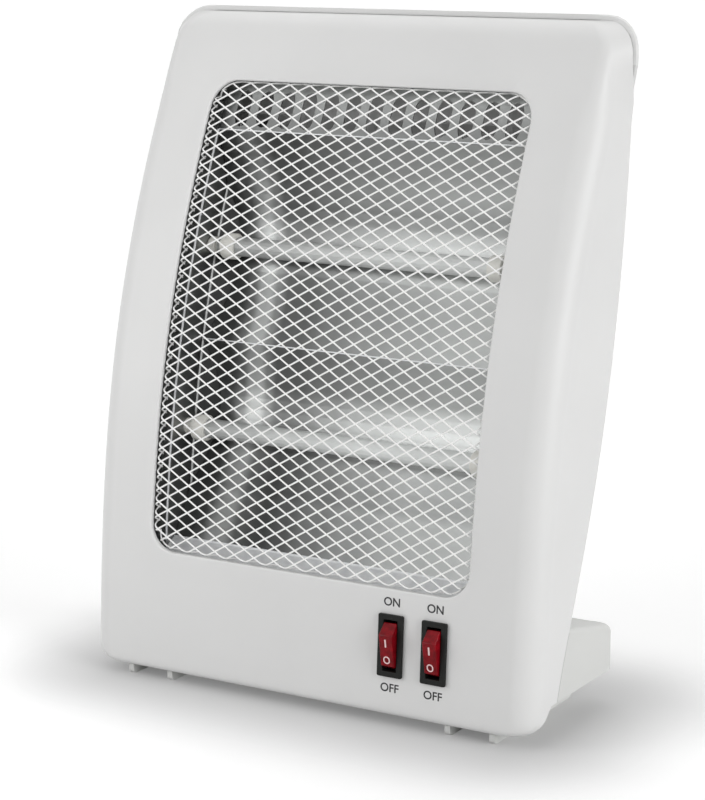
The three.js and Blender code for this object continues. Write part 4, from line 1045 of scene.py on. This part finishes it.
# %% [markdown]
# The rocker rides on its own body, so it turns on its pin when the switch is pressed. It is made in the
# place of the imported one, tilted to off. The marks I and O stand a hair proud of its face: real geometry
# stays crisp in every view, where a texture would need unwrapping.

# %% Rockers and their marks
mark_lift = 0.00002
mark_rise = 0.00012
bar_centre = 0.004
bar_half_width = 0.0004
bar_half_height = 0.0021
bar_radius = 0.0003
ring_centre = -0.0048
ring_half_width = 0.0018
ring_half_height = 0.002
ring_stroke = 0.0006
ring_steps = 6


def rocker_place(x):
    """The rocker at rest: on its pin, tilted to its off place."""
    pivot = Matrix.Translation((0, bezel_face + pivot_depth, 0))
    return on_front(x) @ pivot @ Matrix.Rotation(rocker_tilt, 4, "X")


def switch_rocker(name, x, body, node):
    """The red rocker, drawn out to both sides from its profile."""
    bm = bmesh.new()
    sides = [[bm.verts.new((side * rocker_half, y, z)) for y, z in rocker_outline] for side in (-1, 1)]
    bridge(bm, *sides)
    bm.faces.new(sides[0])
    bm.faces.new(sides[1])
    bmesh.ops.transform(bm, matrix=rocker_place(x), verts=bm.verts)
    piece = finish_piece(
        name, bm, rocker_red, body=body, replaced=[node], crease=rocker_crease,
    )
    return soften(piece, rocker_softness, angle=rocker_soft_angle)


def oval(half_width, half_height):
    """An upright oval, as wide as its corners are round."""
    return rounded_outline(half_width, half_height, half_width, ring_steps)


def rocker_marks(name, x, body):
    """The raised I and O on the face of the rocker."""
    bm = bmesh.new()
    bar = rounded_outline(bar_half_width, bar_half_height, bar_radius)
    ring = [oval(ring_half_width, ring_half_height)]
    ring.append(oval(ring_half_width - ring_stroke, ring_half_height - ring_stroke))
    face = rocker_face - mark_lift
    for centre_z, outlines in ((bar_centre, [bar]), (ring_centre, ring)):
        tops = [[bm.verts.new((p.x, face - mark_rise, p.y + centre_z)) for p in o] for o in outlines]
        roots = [[bm.verts.new((p.x, face + mark_rise, p.y + centre_z)) for p in o] for o in outlines]
        for top, root in zip(tops, roots):
            bridge(bm, top, root)
        if len(tops) == 1:
            bm.faces.new(tops[0])
            bm.faces.new(roots[0])
        else:
            bridge(bm, *tops)
            bridge(bm, *roots)
    bmesh.ops.transform(bm, matrix=rocker_place(x), verts=bm.verts)
    return finish_piece(name, bm, mark_pale, body=body)


for side, x in zip(("left", "right"), switch_centres):
    switch_housing(f"bezel_{side}", x, f"switch_housing_{side}")
    switch_rocker(f"rocker_{side}", x, f"{side}_rocker", f"switch_rocker_{side}")
    rocker_marks(f"rocker_marks_{side}", x, f"{side}_rocker")

# %% [markdown]
# Inside the window, each tube sits in a ceramic cap at both ends. A cap is a turned shape: a thin nose
# through the end plate, a collar, and a thick head that takes the tube. So its profile is drawn once, as
# distances from the middle of the heater with a radius for each, and swept round the axis of the tube.

# %% Ceramic caps
nose_end = 0.0945
nose_radius = 0.0034
collar_outer = 0.0905
collar_inner = 0.0865
collar_radius = 0.0042
head_outer = 0.0825
head_outer_slope = 0.0008
head_outer_radius = 0.0056
head_radius = 0.0067
head_inner = 0.0742
head_inner_slope = 0.001
head_inner_radius = 0.006
cap_sides = 40
cap_shifts = {"upper": 0.0008, "lower": -0.0032}

cap_profile = [
    (nose_end, nose_radius), (collar_outer, nose_radius),
    (collar_outer, collar_radius), (collar_inner, collar_radius),
    (collar_inner, nose_radius), (head_outer, nose_radius),
    (head_outer, head_outer_radius), (head_outer - head_outer_slope, head_radius),
    (head_inner + head_inner_slope, head_radius), (head_inner, head_inner_radius),
]


def turned_cap(name, tube, side, shift, node):
    """A cap round the end of a tube, on the side -1 or 1, shifted towards the middle."""
    low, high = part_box(tube)
    axis_y, axis_z = (low.y + high.y) / 2, (low.z + high.z) / 2
    bm = bmesh.new()
    rings = [
        [
            bm.verts.new((side * (x - shift), axis_y + radius * math.cos(a), axis_z + radius * math.sin(a)))
            for a in spread(0, math.tau, cap_sides)[:-1]
        ]
        for x, radius in cap_profile
    ]
    for first, second in zip(rings, rings[1:]):
        bridge(bm, first, second)
    bm.faces.new(rings[0])
    bm.faces.new(rings[-1])
    return finish_piece(name, bm, pale_ceramic, replaced=[node])


for side_name, side in (("left", -1), ("right", 1)):
    for level, shift in cap_shifts.items():
        node = f"ceramic_cap_{level}_{side_name}"
        turned_cap(f"cap_{level}_{side_name}", f"quartz_tube_{level}", side, shift, node)

# %% [markdown]
# Where the reflector's sheets are folded, the rounded fold catches the light as a thin bright line. The
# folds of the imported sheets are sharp, and a sharp edge has no width to shine. A fine bright rod along
# each fold gives that line without touching the sheet itself.

# %% Fold edges of the reflector
edge_radius = 0.0004
strip_radius = 0.0006
strip_depth = 0.0115
strip_x = 0.0902
ridge_depth = 0.0316
ridge_z = 0.171
edge_sides = 8
strip_steps = 40
fold_steps = 12

fold_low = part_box("reflector_top_plate")[0]
apron_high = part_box("reflector_apron")[1]
edges_mesh = bmesh.new()
for end_x in (-strip_x, strip_x):
    heights = spread(apron_high.z, fold_low.z, strip_steps)
    strip = [Vector((end_x, front_y(z) + strip_depth, z)) for z in heights]
    tube_through(edges_mesh, strip, strip_radius, edge_sides)
folds = (
    (fold_low.y, fold_low.z, edge_radius),
    (front_y(ridge_z) + ridge_depth, ridge_z, edge_radius),
    (apron_high.y, apron_high.z, strip_radius),
)
for fold_y, fold_z, radius in folds:
    line = [Vector((x, fold_y, fold_z)) for x in spread(-strip_x, strip_x, fold_steps)]
    tube_through(edges_mesh, line, radius, edge_sides)
finish_piece("reflector_fold_edges", edges_mesh, painted_glint_sheet)

# %% [markdown]
# The vents of the rear cover have slanting slats, so that air gets out and nobody sees or reaches in.
# Each slat is a thin leaning board right behind its slot. A ray sent at the cover from behind, between
# two slots, says how far back its wall is at each height.

# %% Vent slats
slot_length = 0.03
slot_pitch = 0.04
slots_each_side = 2
lower_slots_z = 0.096
upper_slots_z = 0.2608
slot_row_pitch = 0.01
slot_rows_each = 3
slat_rise = 0.003
slat_depth = 0.003
slat_thickness = 0.0006
cover_wall = 0.0026
far_behind = 1.0

slot_rows = [
    first_z + index * slot_row_pitch
    for first_z in (lower_slots_z, upper_slots_z)
    for index in range(slot_rows_each)
]
slats_mesh = bmesh.new()
for z in slot_rows:
    _, place, _, _ = frame["nodes"]["rear_cover"].ray_cast((slot_pitch / 2, far_behind, z), (0, -1, 0))
    inner_y = place.y - cover_wall
    slat_outline = [
        (inner_y, z - slat_rise), (inner_y - slat_thickness, z - slat_rise),
        (inner_y - slat_thickness - slat_depth, z + slat_rise), (inner_y - slat_depth, z + slat_rise),
    ]
    for column in range(-slots_each_side, slots_each_side + 1):
        low_x = column * slot_pitch - slot_length / 2 - slat_thickness
        high_x = column * slot_pitch + slot_length / 2 + slat_thickness
        ends = [[slats_mesh.verts.new((x, y, up)) for y, up in slat_outline] for x in (low_x, high_x)]
        bridge(slats_mesh, *ends)
        slats_mesh.faces.new(ends[0])
        slats_mesh.faces.new(ends[1])
    print("slats at", round(z, 4), "behind the wall at", round(place.y, 4))
finish_piece("vent_slats", slats_mesh, case_white)

# %% [markdown]
# The words ON and OFF are printed above and below each switch. They are thin raised meshes made from a
# text object, so they stay sharp at any size and need no image. The outline is thickened a little,
# because ink spreads.

# %% Printed words
word_height = 0.0041
capital_share = 0.7
word_thickening = 0.00009
print_rise = 0.00006
word_shift = 0.0004
word_on_z = 0.0622
word_off_z = 0.0197


def printed_word(name, word, x, z):
    """A printed word, centred on a place of the front panel."""
    curve = bpy.data.curves.new(name, "FONT")
    curve.body = word
    curve.size = word_height / capital_share
    curve.align_x = "CENTER"
    curve.align_y = "CENTER"
    curve.extrude = print_rise
    curve.offset = word_thickening
    writer = bpy.data.objects.new(name, curve)
    bpy.context.collection.objects.link(writer)
    bpy.context.view_layer.update()
    mesh = bpy.data.meshes.new_from_object(writer.evaluated_get(bpy.context.evaluated_depsgraph_get()))
    bpy.data.objects.remove(writer)
    bm = bmesh.new()
    bm.from_mesh(mesh)
    bmesh.ops.transform(bm, matrix=on_front(x, z) @ Matrix.Rotation(math.pi / 2, 4, "X"), verts=bm.verts)
    return finish_piece(name, bm, print_grey)


for side, x in zip(("left", "right"), switch_centres):
    printed_word(f"word_on_{side}", "ON", x - word_shift, word_on_z)
    printed_word(f"word_off_{side}", "OFF", x - word_shift, word_off_z)

# %% [markdown]
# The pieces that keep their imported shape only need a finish. Flat shading would show their facets, so
# each is shaded smooth with its creases kept by angle, and a weighted-normal step keeps wide faces flat.
# The cover and the stand have broad roundings in few facets, so their creases start at a wider angle.

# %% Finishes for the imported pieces
finishes = {
    "case_plastic": case_white,
    "stand_plastic": stand_grey,
    "guard_wire": guard_white,
    "reflector": reflector_sheet,
    "quartz": frosted_quartz,
    "ceramic": pale_ceramic,
    "coil_wire": oxide_wire,
    "black_plastic": inner_black,
    "red_plastic": rocker_red,
    "steel": zinc_steel,
}
# These sheets get painted reflection, shade and glint instead of a plain finish.
special = {
    "reflector_back": back_sheet,
    "reflector_top_plate": slotted_sheet,
    "reflector_apron": painted_glint_sheet,
    "reflector_end_left": end_sheet,
    "reflector_end_right": reflector_sheet,
}
slots = {row["node"]: row["material_slot"] for row in frame["record"]["subparts"]}
creases = {"rear_cover": 50, "rear_stand": 50}
usual_crease = 35

for name, node in frame["nodes"].items():
    node.data.materials.clear()
    node.data.materials.append(special.get(name) or finishes[slots[name]])
    node.data.shade_smooth()
    node.data.set_sharp_from_angle(angle=math.radians(creases.get(name, usual_crease)))
    weigh = node.modifiers.new("flat_faces_stay_flat", "WEIGHTED_NORMAL")
    weigh.keep_sharp = True
print("finished nodes:", len(frame["nodes"]))

# %% [markdown]
# The studio is a white floor that runs out of sight and a white sky for soft light from everywhere. Three
# lamps are distant and very wide, so they light the whole floor evenly: what a bare piece of floor gets
# is then known. One stands low at the right and lights the side and the front, a weaker one fills in from
# the left, and one high behind the heater throws its soft shadow forward. A small fourth lamp near the
# left gives the guard's wires and the caps a little more light; it is too weak to change the floor.

# %% Lamps
sky_strength = 0.42
near_watts = 0.62
near_size = 0.3
near_place = Vector((-0.42, -0.5, 0.32))
near_aim = Vector((-0.06, 0, 0.17))

# Each: its name, the direction towards it, what a white card facing it shows, and its angle in degrees
wide_lamps = [
    ("lamp_right", (0.85, -0.14, 0.25), 0.56, 40),
    ("lamp_front", (-0.55, -0.7, 0.34), 0.22, 70),
    ("lamp_behind", (-0.15, 0.2, 0.42), 0.24, 60),
]


def hang_lamp(name, light, toward):
    """Links a lamp that shines from a direction towards the middle."""
    lamp = bpy.data.objects.new(name, light)
    lamp.rotation_euler = Vector(toward).to_track_quat("Z", "Y").to_euler()
    bpy.context.collection.objects.link(lamp)
    return lamp


floor_light = sky_strength
for name, toward, brightness, degrees in wide_lamps:
    light = bpy.data.lights.new(name, "SUN")
    light.energy = brightness * math.pi
    light.angle = math.radians(degrees)
    hang_lamp(name, light, toward)
    floor_light += brightness * Vector(toward).normalized().z

near_light = bpy.data.lights.new("lamp_near", "AREA")
near_light.energy = near_watts
near_light.size = near_size
hang_lamp("lamp_near", near_light, near_place - near_aim).location = near_place
print("a bare piece of floor gets", round(floor_light, 3))

# %% [markdown]
# The background has to be white, and the heater must not be overlit for it. So the floor has two colours.
# Light that bounces off it meets a plain pale floor. The camera, mirrors and glass see a floor that is
# just white where it is bare, because the colour is worked out from the light it gets, with a faint glow
# of its own for what is missing. The soft shadow stays, and near the foot the seen colour is darkened by
# a painted contact shadow, such as a heavy object casts. That painted shadow follows the distance from a
# box round the foot.

# %% Floor
floor_reach = 60.0
floor_bounce = 0.7
white_level = 1.02
painted_shadow_share = 0.5
painted_shadow_reach = 0.115
foot_half_width = 0.108
foot_half_depth = 0.036
floor_seen = min(1.0, white_level / floor_light)
floor_glow = max(0.0, white_level - floor_seen * floor_light)

floor_mesh = bpy.data.meshes.new("floor")
corners = [(-1, -1), (1, -1), (1, 1), (-1, 1)]
floor_mesh.from_pydata([(x * floor_reach, y * floor_reach, 0) for x, y in corners], [], [(0, 1, 2, 3)])
floor = bpy.data.objects.new("floor", floor_mesh)
bpy.context.collection.objects.link(floor)
print("seen floor:", round(floor_seen, 3), "glow:", round(floor_glow, 3))


# %% Colour of the floor
def seen_directly(nodes, links):
    """1 for rays from the camera and for mirror and glass rays, 0 for the rest."""
    path = nodes.new("ShaderNodeLightPath")
    seen = path.outputs["Is Camera Ray"]
    for kind in ("Is Glossy Ray", "Is Transmission Ray"):
        either = nodes.new("ShaderNodeMath")
        either.operation = "MAXIMUM"
        links.new(seen, either.inputs[0])
        links.new(path.outputs[kind], either.inputs[1])
        seen = either.outputs[0]
    return seen


def vector_step(material, operation, source, other=(0, 0, 0)):
    """One step of vector arithmetic on a source."""
    step = material.node_tree.nodes.new("ShaderNodeVectorMath")
    step.operation = operation
    step.inputs[1].default_value = other
    material.node_tree.links.new(source, step.inputs[0])
    return step.outputs["Value"] if operation == "LENGTH" else step.outputs["Vector"]


floor_white = new_material("floor_white", (floor_bounce, floor_bounce, floor_bounce), 1.0)
nodes = floor_white.node_tree.nodes
links = floor_white.node_tree.links
shader = nodes["Principled BSDF"]
shader.inputs["Specular IOR Level"].default_value = 0.0
shader.inputs["Emission Color"].default_value = (1, 1, 1, 1)

# Near the foot the seen colour darkens by distance from a box round it: a painted contact shadow.
folded = vector_step(floor_white, "ABSOLUTE", nodes.new("ShaderNodeTexCoord").outputs["Object"])
beyond = vector_step(floor_white, "SUBTRACT", folded, (foot_half_width, foot_half_depth, 0))
outside = vector_step(floor_white, "MAXIMUM", beyond)
away = vector_step(floor_white, "LENGTH", outside)
shade = in_range(floor_white, away, 0.0, painted_shadow_reach, floor_seen * painted_shadow_share, floor_seen, "SMOOTHERSTEP")
seen = seen_directly(nodes, links)
floor_mix = nodes.new("ShaderNodeMix")
floor_mix.data_type = "RGBA"
floor_mix.inputs["A"].default_value = (floor_bounce, floor_bounce, floor_bounce, 1)
links.new(shade, floor_mix.inputs["B"])
links.new(seen, floor_mix.inputs["Factor"])
links.new(floor_mix.outputs["Result"], shader.inputs["Base Color"])
links.new(in_range(floor_white, seen, 0.0, 1.0, 0.0, floor_glow), shader.inputs["Emission Strength"])
floor.data.materials.append(floor_white)
print("floor colour:", floor_white.name)

# %% [markdown]
# The sky lights the heater softly, and seen directly it is plain white. A picture of a studio could be
# used instead, but an even sky is what a white photo tent gives.

# %% Sky
world = bpy.data.worlds.new("studio")
bpy.context.scene.world = world
world.use_nodes = True
nodes = world.node_tree.nodes
links = world.node_tree.links
background = nodes["Background"]
background.inputs["Color"].default_value = (1, 1, 1, 1)
blend = nodes.new("ShaderNodeMix")
blend.data_type = "FLOAT"
blend.inputs["A"].default_value = sky_strength
blend.inputs["B"].default_value = 1.0
links.new(seen_directly(nodes, links), blend.inputs["Factor"])
links.new(blend.outputs["Result"], background.inputs["Strength"])
print("sky:", sky_strength)
